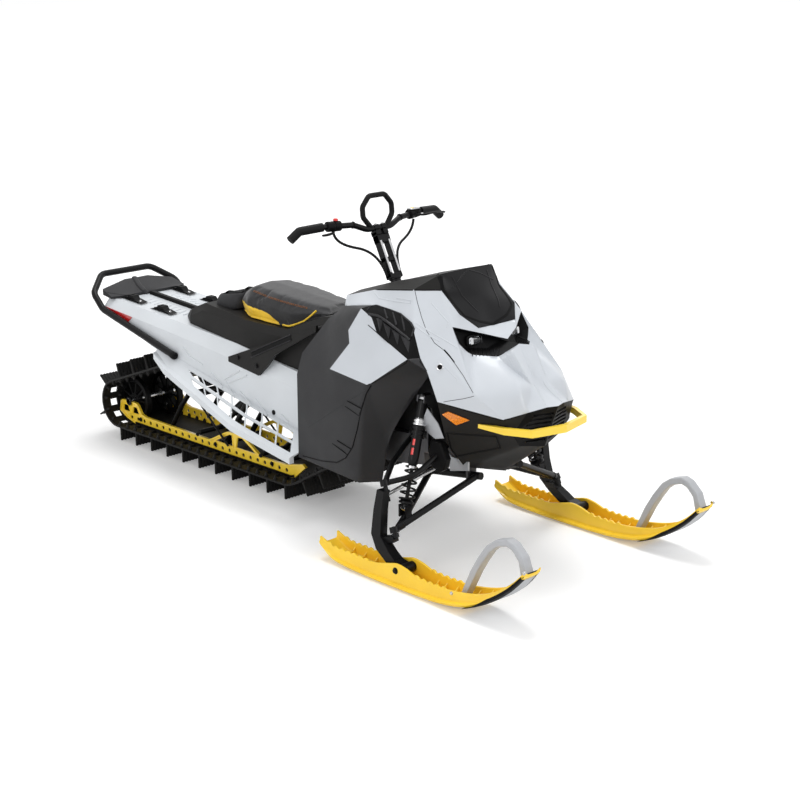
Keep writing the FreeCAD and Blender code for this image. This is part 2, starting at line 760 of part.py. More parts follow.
def tunnel_section(station, inset):
    """Half outlines of the folded sheet: outside for inset 0, inside for the sheet's thickness."""
    x, low, fold, roof = station
    side = size("tunnel_half_width") - inset
    top = side - size("tunnel_chamfer_width")
    return [(x, -side, low), (x, -side, fold), (x, -top, roof - inset),
            (x, top, roof - inset), (x, side, fold), (x, side, low)]


def make_tunnel():
    sections = []
    for station in stations("tunnel"):
        outside = tunnel_section(station, 0)
        inside = tunnel_section(station, size("tunnel_sheet"))
        sections.append(outside + inside[::-1])
    keep("tunnel", sections_solid(sections))


TUNNEL_LINE = stations("tunnel")


def roof_height(x):
    return along_line(TUNNEL_LINE, x, 3) + GAP


def tunnel_inside():
    return size("tunnel_half_width") - size("tunnel_sheet") - GAP


def board_holes(line, side):
    """Slanting cut-outs in two rows, half a pitch apart, which leave a lattice of ribs."""
    margin = size("board_hole_margin")
    rib = size("board_rib_width")
    pitch = size("board_hole_pitch")
    slant = size("board_hole_slant")
    inner = size("tunnel_half_width") + margin
    floor = min(row[2] for row in line) - 2 * size("board_rail_height")
    ceiling = max(row[2] for row in line) + 2 * size("board_rail_height")
    holes = []
    for row in (0, 1):
        for number in range(int(size("board_hole_count"))):
            start = size("board_hole_start") + (number + row / 2) * pitch
            corners = []
            length = pitch - rib
            for along, far_edge in ((0, False), (length, False), (length + slant, True), (slant, True)):
                outer = along_line(line, start + along, 1) - margin
                middle = (inner + outer - rib) / 2
                near, far = (middle + rib, outer) if row else (inner, middle)
                corners.append((start + along, side * (far if far_edge else near)))
            holes.append(plan_prism(corners, floor, ceiling))
    return Part.makeCompound(holes)


def board(side):
    thickness = size("board_thickness")
    rail_height = size("board_rail_height")
    half_rail = size("board_rail_width") / 2
    drop = size("board_drop")
    inner = size("tunnel_half_width") + GAP
    line = stations("board")
    deck = []
    rail = []
    for x, y, z in line:
        inner_z = along_line(TUNNEL_LINE, x, 1) + size("board_lift")
        deck.append(mirrored([(x, inner, inner_z), (x, y, z - drop), (x, y, z - drop - thickness),
                              (x, inner, inner_z - thickness)], side))
        low = z - rail_height
        rail.append(mirrored([(x, y - half_rail, z), (x, y + half_rail, z - drop),
                              (x, y + half_rail, low), (x, y - half_rail, low)], side))
    deck = sections_solid(deck).cut(board_holes(line, side))
    return joined([deck, sections_solid(rail)])


def make_hoop():
    y_side = size("tunnel_half_width") + size("hoop_radius") + GAP
    half = [(x, y_side + out, z) for x, out, z in stations("hoop")]
    route = mirrored(half, -1)[::-1] + half
    keep("rear_grab_bar", tube(route, size("hoop_radius"), size("hoop_bend_radius")))


def make_flap():
    faces = []
    for side in (-1, 1):
        upper = [vec(x, y * side, z) for x, y, z in stations("flap")]
        lower = [vec(point.x, point.y, roof_height(point.x)) for point in upper]
        for ring, turn in ((upper, side), (lower, -side)):
            for i in range(1, len(ring) - 1):
                fan = [ring[0], ring[i], ring[i + 1]]
                faces.append(triangle_face(*(fan if turn < 0 else fan[::-1])))
        for i in range(len(upper) - 1):
            faces.append(triangle_face(upper[i], lower[i], upper[i + 1]))
            faces.append(triangle_face(upper[i + 1], lower[i], lower[i + 1]))
    shell = Part.makeShell(faces)
    shell.sewShape()
    solid = Part.makeSolid(shell)
    if solid.Volume < 0:
        solid.reverse()
    keep("snow_flap", solid)


def make_coolant_tube():
    half = size("coolant_tube_width") / 2
    high = size("coolant_tube_height")
    sections = []
    for (x,) in stations("coolant"):
        z = roof_height(x)
        sections.append([(x, -half, z), (x, half, z), (x, half * 0.6, z + high), (x, -half * 0.6, z + high)])
    keep("coolant_tube", sections_solid(sections))


def anchor(x, y):
    """A cargo anchor with tapered ends and a socket down its middle."""
    half = size("anchor_width") / 2
    z = roof_height(x)
    tops = [(x + along, z + up) for along, up in stations("anchor_top")]
    ends = (x - 1.5 * size("anchor_width"), x + 1.8 * size("anchor_width"))
    outline = [(end, roof_height(end)) for end in ends] + tops
    top = max(height for _, height in tops)
    depth = size("anchor_bore_depth")
    bore = Part.makeCylinder(size("anchor_bore_radius"), depth, vec(x, y, top - depth), vec(0, 0, 1))
    return prism(outline, y - half, y + half).cut(bore)


def make_anchors():
    places = [(x, y * side) for x, y in stations("anchor") for side in (-1, 1)]
    keep("cargo_anchors", Part.makeCompound([anchor(x, y) for x, y in places]))


def make_seat_base():
    line = stations("base")
    kinks = [station[0] for station in TUNNEL_LINE if line[0][0] < station[0] < line[-1][0]]
    sections = []
    for x in sorted([station[0] for station in line] + kinks):
        half = along_line(line, x, 1)
        top = along_line(line, x, 2)
        low = roof_height(x)
        shoulder = max(top - 30, low + 5)
        sections.append([(x, -half, low), (x, half, low), (x, half, shoulder),
                         (x, half - 14, top), (x, -half + 14, top), (x, -half, shoulder)])
    keep("seat_base", sections_solid(sections))


def make_cushion():
    base = stations("base")
    line = stations("cushion")
    kinks = [station[0] for station in base if line[0][0] < station[0] < line[-1][0]]
    sections = []
    for x in sorted(set([station[0] for station in line] + kinks)):
        half = along_line(line, x, 1)
        top = along_line(line, x, 2)
        low = along_line(base, x, 2) + GAP
        edge = low + 0.55 * (top - low)
        sections.append([(x, -half * 0.9, low), (x, half * 0.9, low), (x, half, edge),
                         (x, half * 0.72, top - 6), (x, 0, top), (x, -half * 0.72, top - 6),
                         (x, -half, edge)])
    keep("seat", sections_solid(sections))


def make_seat_brackets():
    """A brace on each side from the tunnel's fold up to the front of the seat base."""
    place = "sizes.tunnel_half_width + sizes.seat_gap + sizes.bracket_thickness / 2"
    brace = side_pad("brace_left", [stations("brace")], "sizes.bracket_thickness", place)
    foot_x, foot_z = stations("brace")[4]
    pin = doc.addObject("Part::Cylinder", "brace_pin")
    pin.setExpression("Radius", "sizes.bracket_thickness")
    pin.setExpression("Height", "sizes.tunnel_half_width - sizes.base_half_6 + sizes.bracket_thickness / 2")
    pin.Placement.Rotation = FreeCAD.Rotation(FORWARD, -90)
    pin.setExpression("Placement.Base.x",
                      "sizes.origin_shift + sizes.brace_x_3 - 2 * sizes.bracket_thickness")
    pin.setExpression("Placement.Base.y", "sizes.base_half_6 + sizes.seat_gap")
    pin.setExpression("Placement.Base.z", "sizes.brace_z_4 - sizes.seat_gap")
    left = doc.addObject("Part::MultiFuse", "seat_bracket_left")
    left.Shapes = [brace, pin]
    keep_group("seat_brackets", [left, other_side(left)])


def make_side_reflectors():
    """A red lens on each side wall at the tail, in the corner between the grab bar and the fold."""
    (_, _, top_z), (top_x, _, _), (bend_x, _, bend_z), (foot_x, _, foot_z) = stations("hoop")
    slope = (bend_z - foot_z) / (bend_x - foot_x)
    rear = bend_x + GAP
    front = rear + 14 * size("hoop_radius")
    clear = 0.75 * size("hoop_radius")
    lower = [(x, foot_z + (x - foot_x) * slope + clear) for x in (front - 2 * size("hoop_radius"), rear)]
    upper = [(x, along_line(TUNNEL_LINE, x, 2)) for x in (rear, front)]
    outline = [lower[0], upper[1], (upper[0][0], max(upper[0][1], lower[1][1] + 1)), lower[1]]
    place = "sizes.tunnel_half_width + sizes.seat_gap + sizes.reflector_thickness / 2"
    left = side_pad("side_reflector_left", [outline], "sizes.reflector_thickness", place)
    keep_group("side_reflectors", [left, other_side(left)])


def other_side(source):
    """The same object mirrored to the right."""
    mirror = doc.addObject("Part::Mirroring", source.Name + "_mirrored")
    mirror.Source = source
    mirror.Base = (0, 0, 0)
    mirror.Normal = (0, 1, 0)
    return mirror


# Track: belt loop and lugs

def circle_tangent(centre_a, radius_a, centre_b, radius_b):
    """Points where the belt's lower run leaves wheel a and reaches wheel b, seen from the right."""
    ax, az = centre_a
    bx, bz = centre_b
    reach = math.hypot(bx - ax, bz - az)
    angle = math.atan2(bz - az, bx - ax)
    normal = angle - math.acos((radius_a - radius_b) / reach)
    out = (math.cos(normal), math.sin(normal))
    return ((ax + radius_a * out[0], az + radius_a * out[1]),
            (bx + radius_b * out[0], bz + radius_b * out[1]))


def belt_wheels():
    """Centre and radius of what the belt runs round, in the order it meets them."""
    rear_radius = size("rear_wheel_radius")
    inner_low = size("lug_height") + size("belt_thickness")
    bend = size("front_bend_radius")
    return [
        ((size("rear_axle_x"), inner_low + rear_radius), rear_radius),
        ((size("front_bend_x"), inner_low + bend), bend),
        ((size("drive_axle_x"), size("drive_axle_z")), size("drive_wheel_radius")),
        ((size("carrier_wheel_x"), size("carrier_wheel_z")), size("carrier_wheel_radius")),
    ]


def belt_wire(offset, y):
    """The closed line of the belt, this far outside the wheels."""
    wheels = [(centre, radius + offset) for centre, radius in belt_wheels()]
    runs = [circle_tangent(*wheels[i], *wheels[(i + 1) % len(wheels)]) for i in range(len(wheels))]
    edges = []
    for i, (start, end) in enumerate(runs):
        edges.append(Part.LineSegment(vec(start[0], y, start[1]), vec(end[0], y, end[1])).toShape())
        centre, radius = wheels[(i + 1) % len(wheels)]
        leave = runs[(i + 1) % len(runs)][0]
        first = math.atan2(end[1] - centre[1], end[0] - centre[0])
        last = math.atan2(leave[1] - centre[1], leave[0] - centre[0])
        if last < first:
            last += 2 * math.pi
        middle = (first + last) / 2
        middle = vec(centre[0] + radius * math.cos(middle), y, centre[1] + radius * math.sin(middle))
        edges.append(Part.Arc(vec(end[0], y, end[1]), middle, vec(leave[0], y, leave[1])).toShape())
    return Part.Wire(edges)


def make_track():
    half = size("track_width") / 2
    thickness = size("belt_thickness")
    outer = belt_wire(thickness, -half)
    inner = belt_wire(0, -half)
    across = vec(0, 2 * half, 0)
    belt = Part.Face(outer).extrude(across).cut(Part.Face(inner).extrude(across))
    middle = Part.Face(outer).CenterOfMass
    count = 2 * round(outer.Length / size("lug_pitch") / 2)
    points = outer.discretize(Number=8 * count + 1)
    lugs = []
    for i in range(count):
        spot = points[8 * i]
        ahead = (points[8 * i + 1] - points[8 * i - 1 if i else -2]).normalize()
        out = ahead.cross(ACROSS)
        if out.dot(spot - middle) < 0:
            out = out * -1
        spans = ((-0.93, -0.36), (0.36, 0.93)) if i % 2 else ((-0.34, 0.34),)
        for start, end in spans:
            root = spot - out * (thickness / 2) - ahead * (size("lug_thickness") / 2)
            tip = out * (size("lug_height") + thickness / 2)
            along = ahead * size("lug_thickness")
            root = root + vec(0, half * (1 + start), 0)
            corners = [root, root + along, root + along + tip, root + tip]
            face = Part.Face(Part.makePolygon(corners + corners[:1]))
            lugs.append(face.extrude(vec(0, half * (end - start), 0)))
    print("belt length", round(outer.Length), "lug rows", count)
    keep("track", joined([belt] + lugs))


# Slide frame inside the track

def make_rails():
    """A rail on each side: padded outline with its windows, and a row of round holes."""
    place = "sizes.rail_half_spacing"
    loops = [stations("rail"), stations("rail_window"), stations("rail_gusset")]
    rail = side_pad("rail_left", loops, "sizes.rail_thickness", place)
    holes = side_sketch(rail, "rail_left_holes")
    middle = size("lug_height") + size("belt_thickness") + size("rail_height") / 2
    centre = vec(size("rail_hole_x"), middle, 0)
    holes.addGeometry(Part.Circle(centre, vec(0, 0, 1), size("rail_hole_radius")), False)
    radius = holes.addConstraint(Sketcher.Constraint("Radius", 0, size("rail_hole_radius")))
    holes.setExpression("Constraints[%d]" % radius, "sizes.rail_hole_radius")
    doc.recompute()
    pocket = through_pocket(rail, holes, "rail_left_pocket")
    row = rail.newObject("PartDesign::LinearPattern", "rail_left_row")
    row.Originals = [pocket]
    row.Direction = (holes, ["H_Axis"])
    row.setExpression("Length", "sizes.rail_hole_pitch * (sizes.rail_hole_count - 1)")
    row.Occurrences = int(size("rail_hole_count"))
    rail.Tip = row
    doc.recompute()
    bore = side_sketch(rail, "rail_left_axle_bore")
    axle_x, axle_z = belt_wheels()[0][0]
    bore.addGeometry(Part.Circle(vec(axle_x, axle_z, 0), vec(0, 0, 1), size("axle_radius") + GAP), False)
    radius = bore.addConstraint(Sketcher.Constraint("Radius", 0, size("axle_radius") + GAP))
    bore.setExpression("Constraints[%d]" % radius, "sizes.axle_radius + sizes.seat_gap")
    doc.recompute()
    through_pocket(rail, bore, "rail_left_axle_pocket")
    doc.recompute()
    keep_group("slide_rails", [rail, other_side(rail)])


def through_pocket(body, sketch, name):
    pocket = body.newObject("PartDesign::Pocket", name)
    pocket.Profile = sketch
    pocket.SideType = "Symmetric"
    pocket.Type = "ThroughAll"
    doc.recompute()
    return pocket


def spoked_wheel(centre, radius, y_mid, bore):
    width = size("wheel_width")
    start = vec(centre[0], y_mid - width / 2, centre[1])
    wheel = Part.makeCylinder(radius, width, start, ACROSS)
    hub = 0.3 * radius
    rim = 0.82 * radius
    ring = Part.makeCylinder(rim, width, start, ACROSS).cut(Part.makeCylinder(hub, width, start, ACROSS))
    count = int(size("wheel_spokes"))
    spokes = []
    for i in range(count):
        spoke = Part.makeBox(radius, width, 0.09 * radius, vec(0, y_mid - width / 2, -0.045 * radius))
        spoke.rotate(vec(0, 0, 0), ACROSS, 360 / count * i)
        spoke.translate(vec(centre[0], 0, centre[1]))
        spokes.append(spoke)
    wheel = wheel.cut(ring.cut(Part.makeCompound(spokes)))
    return wheel.cut(Part.makeCylinder(bore, width, start, ACROSS))


def make_wheels():
    bore = size("axle_radius") + GAP
    spacing = size("wheel_half_spacing")
    rear, _, drive, carrier = belt_wheels()
    wheels = []
    for centre, radius in (rear, carrier, drive):
        wheels += [spoked_wheel(centre, radius - GAP, side * spacing, bore) for side in (-1, 1)]
    keep("track_wheels", Part.makeCompound(wheels))


def make_axles():
    """Three plain shafts across the machine."""
    tunnel_reach = "(sizes.tunnel_half_width - sizes.tunnel_sheet - sizes.seat_gap)"
    shafts = (("rear_axle", "(sizes.rail_half_spacing + sizes.rail_thickness)", "sizes.rear_axle_x",
               "sizes.lug_height + sizes.belt_thickness + sizes.rear_wheel_radius"),
              ("carrier_axle", tunnel_reach, "sizes.carrier_wheel_x", "sizes.carrier_wheel_z"),
              ("drive_axle", tunnel_reach, "sizes.drive_axle_x", "sizes.drive_axle_z"))
    members = []
    for name, reach, x, z in shafts:
        shaft = doc.addObject("Part::Cylinder", name)
        shaft.setExpression("Radius", "sizes.axle_radius")
        shaft.setExpression("Height", "2 * " + reach)
        shaft.Placement.Rotation = FreeCAD.Rotation(FORWARD, -90)
        shaft.setExpression("Placement.Base.x", "sizes.origin_shift + " + x)
        shaft.setExpression("Placement.Base.y", "-1 * " + reach)
        shaft.setExpression("Placement.Base.z", z)
        members.append(shaft)
    keep_group("wheel_axles", members)


def make_skid_frame():
    """The front and the rear arm of the slide frame, and a shock to the head of each."""
    inner = tunnel_inside()
    rail_in = size("rail_half_spacing") - size("rail_thickness") / 2 - GAP
    radius = size("skid_tube_radius")
    arms = []
    shocks = []
    for foot_x, foot_z, head_x, head_z, shock_x, shock_z in stations("skid"):
        pieces = [rod((foot_x, -rail_in, foot_z), (foot_x, rail_in, foot_z), radius),
                  rod((head_x, -inner, head_z), (head_x, inner, head_z), radius)]
        for side in (-1, 1):
            y = side * size("skid_arm_half_spacing")
            pieces.append(rod((foot_x, y, foot_z), (head_x, y, head_z), radius - 1))
        arms.append(joined(pieces))
        low = vec(shock_x, 0, shock_z)
        high = vec(head_x, 0, head_z)
        run = high - low
        body = rod(tuple(low + run * 0.34), tuple(low + run * 0.86), size("skid_shock_radius"))
        shaft = rod(tuple(low), tuple(high), 0.4 * size("skid_shock_radius"))
        cross = rod((shock_x, -rail_in, shock_z), (shock_x, rail_in, shock_z), size("axle_radius"))
        half_eye = size("shock_eye_width") / 2
        eye_ring = rod((head_x, -half_eye, head_z), (head_x, half_eye, head_z), radius + 7)
        bore = rod((head_x, -2 * half_eye, head_z), (head_x, 2 * half_eye, head_z), radius + GAP)
        shocks.append(joined([body, shaft, cross, eye_ring]).cut(bore))
    keep("skid_arms", Part.makeCompound(arms))
    keep("skid_shocks", Part.makeCompound(shocks))


# Chassis, engine and front suspension

def pivot_ear(x_start, width, side):
    """A plate of the bulkhead that holds the lower arm's pivot tube."""
    front = point_of("lower_pivot_front", side)
    rear = point_of("lower_pivot_rear", side)
    share = (x_start - front.x) / (rear.x - front.x)
    spot = front + (rear - front) * share
    radius = size("lower_pivot_radius")
    reach = radius + 8
    return box_between((x_start, spot.y - reach, spot.z - reach),
                       (x_start + width, spot.y + reach, spot.z + 2.2 * radius))


def shock_tower(side):
    """Two plates and a web that hold the shock's head and carry the upper arm's pivot tube."""
    head = point_of("shock_head", side)
    half_eye = size("shock_eye_width") / 2 + GAP
    plate = size("tower_plate")
    outline = [(y * side, z) for y, z in stations("tower")]
    y_in, z_low = stations("tower")[0]
    z_web = stations("tower")[1][1]
    pieces = [front_prism(outline, head.x - half_eye - plate, head.x - half_eye),
              front_prism(outline, head.x + half_eye, head.x + half_eye + plate),
              box_between((head.x - half_eye - plate, y_in * side, z_low),
                          (head.x + half_eye + plate, (y_in + plate) * side, z_web)),
              box_between((head.x - half_eye - plate, (y_in - 5 * plate) * side, z_low),
                          (head.x + half_eye + plate, (y_in + plate) * side, size("engine_z") - GAP))]
    pin = rod((head.x - half_eye - plate, head.y, head.z), (head.x + half_eye + plate, head.y, head.z),
              size("shock_pin_radius"))
    bore = rod(tuple(point_of("upper_pivot_front", side)), tuple(point_of("upper_pivot_rear", side)),
               size("upper_pivot_radius") + GAP)
    return joined(pieces + [pin]).cut(bore)


def belly_boss(side):
    """The short post on which the belly pan rests."""
    triangle = [("keel_out", side), ("keel_mid", 0), ("grille_mid", 0)]
    corners = [inner_point(key) for key in triangle]
    inward = (corners[1] - corners[0]).cross(corners[2] - corners[0]).normalize()
    if inward.z < 0:
        inward = inward * -1
    foot = corners[0] * 0.6 + corners[1] * 0.3 + corners[2] * 0.1 + inward * GAP
    length = 7.5 * size("belly_boss_radius")
    return Part.makeCylinder(size("belly_boss_radius"), length, foot, inward)


def tie_rod_window(side):
    """The opening in the tray in which the tie rod's inner end swings."""
    spot = point_of("tie_inner", side)
    return box_between((spot.x - 70, spot.y - 58, spot.z - 29), (spot.x + 70, spot.y + 52, spot.z + 33))


def make_bulkhead():
    top = size("engine_z") - GAP
    sections = []
    for x, low, half_low, half_top in stations("tray"):
        sections.append([(x, -half_low, low), (x, half_low, low), (x, half_top, top), (x, -half_top, top)])
    tray = sections_solid(sections)
    thickness = size("ear_thickness")
    pieces = [tray]
    cuts = []
    for side in (-1, 1):
        rear_ear = size("lower_pivot_rear_x") + thickness / 2
        front_ear = sections[-1][0][0] - 2.4 * thickness
        pieces += [shock_tower(side), belly_boss(side), pivot_ear(rear_ear, thickness, side),
                   pivot_ear(front_ear, thickness, side)]
        cuts.append(tie_rod_window(side))
        cuts.append(rod(tuple(point_of("lower_pivot_front", side)), tuple(point_of("lower_pivot_rear", side)),
                        size("lower_pivot_radius") + GAP))
    keep("bulkhead", joined(pieces).cut(Part.makeCompound(cuts)))


def make_engine():
    engine = doc.addObject("Part::Box", "engine_block")
    engine.Label = "engine_block"
    engine.setExpression("Length", "sizes.engine_length")
    engine.setExpression("Width", "sizes.engine_width")
    engine.setExpression("Height", "sizes.engine_height")
    engine.setExpression("Placement.Base.x", "sizes.origin_shift + sizes.engine_x")
    engine.setExpression("Placement.Base.y", "-sizes.engine_width / 2")
    engine.setExpression("Placement.Base.z", "sizes.engine_z")
    nodes.append(engine)


def steer_direction(side):
    return (point_of("upper_ball", side) - point_of("lower_ball", side)).normalize()


def eye(centre, side):
    """The ring of an arm, turned to the steering axis."""
    along = steer_direction(side)
    height = size("eye_height")
    return Part.makeCylinder(size("eye_radius"), height, centre - along * (height / 2), along)


def eye_bore(centre, side):
    along = steer_direction(side)
    radius = size("stud_radius") + size("stud_clearance")
    reach = 4 * size("eye_height")
    return Part.makeCylinder(radius, 2 * reach, centre - along * reach, along)


def upper_arm(side):
    radius = size("upper_arm_radius")
    outer = point_of("upper_ball", side)
    tubes = [tube(mirrored(stations(name), side), radius, 12 * radius)
             for name in ("upper_front", "upper_rear")]
    pivot = rod(tuple(point_of("upper_pivot_front", side)), tuple(point_of("upper_pivot_rear", side)),
                size("upper_pivot_radius"))
    return joined([eye(outer, side), pivot] + tubes).cut(eye_bore(outer, side))


def lower_arm(side):
    radius = size("lower_arm_radius")
    outer = point_of("lower_ball", side)
    foot = point_of("shock_foot", side)
    half_eye = size("shock_eye_width") / 2 + GAP
    plate = size("tower_plate")
    reach = size("shock_eye_radius")
    clevis = []
    for start in (foot.x - half_eye - plate, foot.x + half_eye):
        clevis.append(box_between((start, foot.y - 1.1 * reach, foot.z - 2.6 * reach),
                                  (start + plate, foot.y + 1.1 * reach, foot.z + 0.9 * reach)))
    pin = rod((foot.x - half_eye - plate, foot.y, foot.z), (foot.x + half_eye + plate, foot.y, foot.z),
              size("shock_pin_radius"))
    place = {name: tuple(point_of(name, side)) for name in (
        "lower_eye_front", "lower_eye_rear", "lower_knee_front", "lower_knee_rear", "lower_front",
        "lower_rear", "lower_pivot_front", "lower_pivot_rear")}
    rods = [rod(place["lower_eye_front"], place["lower_knee_front"], radius + 2),
            rod(place["lower_knee_front"], place["lower_front"], radius),
            rod(place["lower_eye_rear"], place["lower_knee_rear"], radius),
            rod(place["lower_knee_rear"], place["lower_rear"], radius),
            rod(place["lower_pivot_front"], place["lower_pivot_rear"], size("lower_pivot_radius"))]
    return joined([eye(outer, side), pin] + rods + clevis).cut(eye_bore(outer, side))


def shock_axis(side):
    low = point_of("shock_foot", side)
    high = point_of("shock_head", side)
    return low, high, (high - low).normalize(), (high - low).Length


def shock(side):
    """The damper with its two eyes and spring seats."""
    low, high, along, length = shock_axis(side)
    shaft_radius = size("shock_shaft_radius")
    neck = 4 * shaft_radius
    seat_radius = size("spring_seat_radius")
    body_length = length * 0.6 - 1.3 * neck
    body = Part.makeCylinder(size("shock_radius"), body_length, low + along * (length * 0.4), along)
    shaft = Part.makeCylinder(shaft_radius, length, low, along)
    seat_low = Part.makeCylinder(seat_radius, 14, low + along * 24, along)
    collar = Part.makeCylinder(seat_radius, 10, low + along * (length * 0.68), along)
    half_eye = vec(size("shock_eye_width") / 2, 0, 0)
    eyes = [Part.makeCylinder(size("shock_eye_radius"), 2 * half_eye.x, end - half_eye, FORWARD)
            for end in (low, high)]
    bores = [Part.makeCylinder(size("shock_pin_radius") + GAP, 4 * half_eye.x, end - half_eye * 2, FORWARD)
             for end in (low, high)]
    return joined([body, shaft, seat_low, collar] + eyes).cut(Part.makeCompound(bores))


def shock_spring(side):
    """The coil spring between its seats, as rings on a thin sleeve round the damper."""
    low, high, along, length = shock_axis(side)
    start = 38 + GAP
    end = length * 0.68 - GAP
    wire = size("spring_wire_radius")
    turns = int(size("spring_turns"))
    inner = size("shock_radius") + 3 * GAP
    pitch = (end - start - 2 * wire) / (turns - 1)
    pieces = [Part.makeCylinder(inner + wire / 2, end - start, low + along * start, along)]
    for number in range(turns):
        centre = low + along * (start + wire + number * pitch)
        pieces.append(Part.makeTorus(size("spring_seat_radius") - 1 - wire, wire, centre, along))
    return joined(pieces).cut(Part.makeCylinder(inner, end - start, low + along * start, along))


def spindle(side):
    """The curved knuckle from the upper ball down to the ski bolt."""
    upper = point_of("upper_ball", side)
    lower = point_of("lower_ball", side)
    along = steer_direction(side)
    half_eye = size("eye_height") / 2
    gap = size("eye_gap")
    stud = size("stud_radius")
    y_ski = size("ski_stance") / 2 * side
    z_ski = size("ski_bolt_height")
    saddle = size("saddle_half_width")
    head = upper - along * (half_eye + gap)
    lug = lower - along * (half_eye + gap)
    pin = point_of("tie_pin", side)

    def block(centre, long, wide):
        x, y, z = centre
        return [(x - long / 2, y - wide / 2, z), (x + long / 2, y - wide / 2, z),
                (x + long / 2, y + wide / 2, z), (x - long / 2, y + wide / 2, z)]
    sections = [block((head.x - 4, head.y + 6 * side, head.z - 12), 34, 32)]
    sections += [block((x, y * side, z), long, wide) for x, y, z, long, wide in stations("spindle")]
    column = sections_solid(sections)
    foot = Part.makeCylinder(size("spindle_foot_radius"), 2 * saddle - 2,
                             vec(0, y_ski - saddle + 1, z_ski), ACROSS)
    toe = bar((-40, y_ski, z_ski + 9), (0, y_ski, z_ski), 44, 30)
    shelf = bar((-140, lug.y + 14 * side, lug.z - 32), (lug.x + 4, lug.y, lug.z - 20), 34, 22)
    top_stud = Part.makeCylinder(stud, size("eye_height") + 2 * gap + 19, head - along * 18, along)
    low_stud = Part.makeCylinder(stud, size("eye_height") + 2 * gap + 22, lug - along * 22, along)
    cap = Part.makeCylinder(1.6 * stud, 2 * stud, lug - along * (2 * stud), along)
    steering_arm = rod(tuple(point_of("steer_arm", side)), tuple(pin), stud)
    ring = size("tie_ring_radius")
    arm_end = Part.makeCylinder(ring, 2 * stud, pin - along * stud, along)
    tie_pin = Part.makeCylinder(size("tie_pin_radius"), 4 * stud, pin - along * 4, along)
    shape = joined([column, foot, toe, shelf, top_stud, low_stud, cap, steering_arm, arm_end, tie_pin])
    bolt_end = vec(0, y_ski - saddle, z_ski)
    return shape.cut(Part.makeCylinder(size("ski_bolt_radius") + GAP, 2 * saddle, bolt_end, ACROSS))


def ski(side):
    """The ski with its two long walls, cross ribs, notched tail and bolt."""
    wall = size("ski_wall_thickness")
    y_mid = size("ski_stance") / 2 * side
    saddle = size("saddle_half_width")
    line = stations("ski")
    sections = []
    for x, half, low, floor, top in line:
        inside = min(half - wall - 4, saddle + 0.5)
        sections.append([
            (x, y_mid - half * 0.8, low), (x, y_mid + half * 0.8, low), (x, y_mid + half, floor),
            (x, y_mid + inside + wall, top), (x, y_mid + inside, top), (x, y_mid + inside, floor),
            (x, y_mid - inside, floor), (x, y_mid - inside, top), (x, y_mid - inside - wall, top),
            (x, y_mid - half, floor)])
    rib = size("ski_rib_thickness")
    ribs = []
    for (x,) in stations("ski_rib"):
        floor = along_line(line, x, 3)
        reach = min(along_line(line, x, 1) - 1.5 * wall, saddle + wall / 2)
        ribs.append(box_between((x - rib / 2, y_mid - reach, floor - 4),
                                (x + rib / 2, y_mid + reach, floor + 1.6 * rib)))
    tail_x, tail_half, tail_low, _, tail_top = line[0]
    notch = box_between((tail_x - rib, y_mid - tail_half / 2, tail_low - 6 * rib),
                        (tail_x + size("ski_notch_length"), y_mid + tail_half / 2, tail_top + rib))
    reach = saddle + wall + 4
    bolt_end = vec(0, y_mid - reach, size("ski_bolt_height"))
    bolt = Part.makeCylinder(size("ski_bolt_radius"), 2 * reach, bolt_end, ACROSS)
    return joined([sections_solid(sections), bolt] + ribs).cut(notch)


def ski_loop(side):
    """The lifting strap over the front of the ski."""
    y_mid = size("ski_stance") / 2 * side
    half = size("loop_strap_width") / 2
    thickness = size("loop_strap_thickness")
    rear = size("loop_rear_foot_x")
    front = size("loop_front_foot_x")
    places = (rear, front, front - thickness, rear + thickness)
    feet = [(x, along_line(stations("ski"), x, 3) + GAP) for x in places]
    outline = feet[:1] + stations("loop_outer") + feet[1:3] + stations("loop_inner") + feet[3:]
    return prism(outline, y_mid - half, y_mid + half)


def tie_rod(side):
    along = steer_direction(side)
    pin = point_of("tie_pin", side)
    centre = pin + along * (2 * size("stud_radius"))
    height = size("tie_ring_height")
    ring = Part.makeCylinder(size("tie_ring_radius"), height, centre - along * (height / 2), along)
    shape = joined([ring, rod(tuple(centre), tuple(point_of("tie_inner", side)), size("tie_rod_radius"))])
    radius = size("tie_pin_radius") + size("stud_clearance")
    return shape.cut(Part.makeCylinder(radius, 5 * height, pin - along * height, along))


def make_front_end():
    keep("upper_arms", both_sides(upper_arm))
    keep("lower_arms", both_sides(lower_arm))
    keep("front_shocks", both_sides(shock))
    keep("shock_springs", both_sides(shock_spring))
    for name, side in (("right", -1), ("left", 1)):
        keep("spindle_" + name, spindle(side))
        keep("ski_" + name, ski(side))
        keep("ski_loop_" + name, ski_loop(side))
        keep("tie_rod_" + name, tie_rod(side))


# Handlebar and post, all turning on the post's axis

def on_bar(name, side=1):
    """A route given from the middle of the handlebar clamp."""
    top = post_top()
    return [(top.x + x, y * side, top.z + z) for x, y, z in stations(name)]


def bar_route():
    half = on_bar("bar")
    return mirrored(half, -1)[::-1] + half


